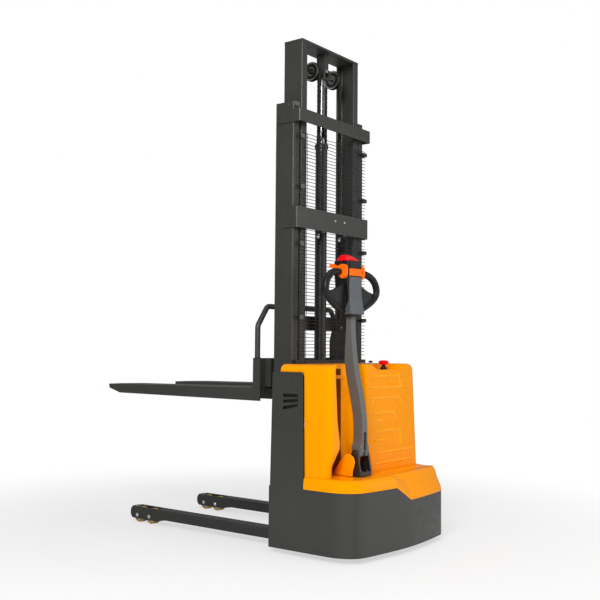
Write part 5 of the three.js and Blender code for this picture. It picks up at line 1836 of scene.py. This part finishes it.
def make_camera():
    data = bpy.data.cameras.new("camera")
    data.sensor_width = 36
    data.lens = LENS
    data.shift_x, data.shift_y = LENS_SHIFT
    data.clip_end = 100
    camera = bpy.data.objects.new("camera", data)
    bpy.context.scene.collection.objects.link(camera)
    level = math.cos(CAMERA_RISE)
    ahead = Vector((-math.sin(CAMERA_TURN) * level, math.cos(CAMERA_TURN) * level, math.sin(CAMERA_RISE)))
    right = ahead.cross(Vector((0, 0, 1))).normalized()
    up = right.cross(ahead)
    c, s = math.cos(CAMERA_ROLL), math.sin(CAMERA_ROLL)
    rolled_right = c * right + s * up
    rolled_up = c * up - s * right
    turned = Matrix((rolled_right, rolled_up, -ahead)).transposed().to_4x4()
    camera.matrix_world = Matrix.Translation(CAMERA_AT) @ turned
    bpy.context.scene.camera = camera


def area_light(name, place, target, size, power, color=(1, 1, 1)):
    data = bpy.data.lights.new(name, "AREA")
    data.shape = "RECTANGLE"
    data.size, data.size_y = size
    data.energy = power
    data.color = color
    lamp = bpy.data.objects.new(name, data)
    bpy.context.scene.collection.objects.link(lamp)
    lamp.location = place
    lamp.rotation_euler = (Vector(target) - Vector(place)).to_track_quat("-Z", "Y").to_euler()


def when_camera_sees(tree):
    """1 where the camera sees the surface itself, 0 where light bounces off it."""
    return tree.nodes.new("ShaderNodeLightPath").outputs["Is Camera Ray"]


def make_floor():
    """A pale floor that fades to plain white a few metres out, so that no horizon shows."""
    mesh = bpy.data.meshes.new("floor")
    reach = 60
    corners = [(-reach, -reach, 0), (reach, -reach, 0), (reach, reach, 0), (-reach, reach, 0)]
    mesh.from_pydata(corners, [], [(0, 1, 2, 3)])
    floor = bpy.data.objects.new("floor", mesh)
    bpy.context.scene.collection.objects.link(floor)
    shader = Shader("pale_floor", (0.93, 0.93, 0.93), 0.6)
    shader.vary_color(shader.noise(0.5), 0.99, 1.01)
    far = shader.node("ShaderNodeVectorMath", operation="LENGTH")
    shader.link(shader.coords, far.inputs[0])
    fade = shader.node("ShaderNodeMapRange", interpolation_type="SMOOTHSTEP")
    fade.inputs["From Min"].default_value = FLOOR_FADE[0]
    fade.inputs["From Max"].default_value = FLOOR_FADE[1]
    fade.inputs["To Min"].default_value = FLOOR_GLOW
    shader.link(far.outputs["Value"], fade.inputs["Value"])
    seen = shader.node("ShaderNodeMath", operation="MULTIPLY")
    shader.link(fade.outputs["Result"], seen.inputs[0])
    shader.link(when_camera_sees(shader.tree), seen.inputs[1])
    white = shader.node("ShaderNodeEmission")
    mix = shader.node("ShaderNodeMixShader")
    shader.link(seen.outputs[0], mix.inputs[0])
    shader.link(shader.bsdf.outputs[0], mix.inputs[1])
    shader.link(white.outputs[0], mix.inputs[2])
    output = shader.tree.nodes["Material Output"]
    shader.link(mix.outputs[0], output.inputs["Surface"])
    mesh.materials.append(shader.material)


def make_world():
    """White behind the truck, dim as a source of light."""
    world = bpy.data.worlds.new("studio")
    bpy.context.scene.world = world
    world.use_nodes = True
    tree = world.node_tree
    strength = tree.nodes.new("ShaderNodeMapRange")
    strength.inputs["To Min"].default_value = AMBIENT
    strength.inputs["To Max"].default_value = 1.0
    tree.links.new(when_camera_sees(tree), strength.inputs["Value"])
    background = tree.nodes["Background"]
    background.inputs["Color"].default_value = (1, 1, 1, 1)
    tree.links.new(strength.outputs["Result"], background.inputs["Strength"])


FLOOR_FADE = (0.9, 2.8)
FLOOR_GLOW = 0.60
AMBIENT = 0.28
AIM = Vector((0, -0.3, 0.9))


def lamp_toward(name, direction, distance, size, power):
    area_light(name, AIM + Vector(direction).normalized() * distance, AIM, size, power)


make_camera()
make_floor()
make_world()
lamp_toward("key", (-0.80, -0.38, 0.46), 5.0, (1.8, 1.8), 185)
lamp_toward("card", (0.35, -0.93, 0.15), 4.0, (4.5, 3.0), 52)
lamp_toward("overhead", (0.05, -0.10, 1.0), 4.0, (2.5, 2.5), 36)
scene = bpy.context.scene
scene.view_settings.view_transform = "Standard"
scene.view_settings.look = "None"
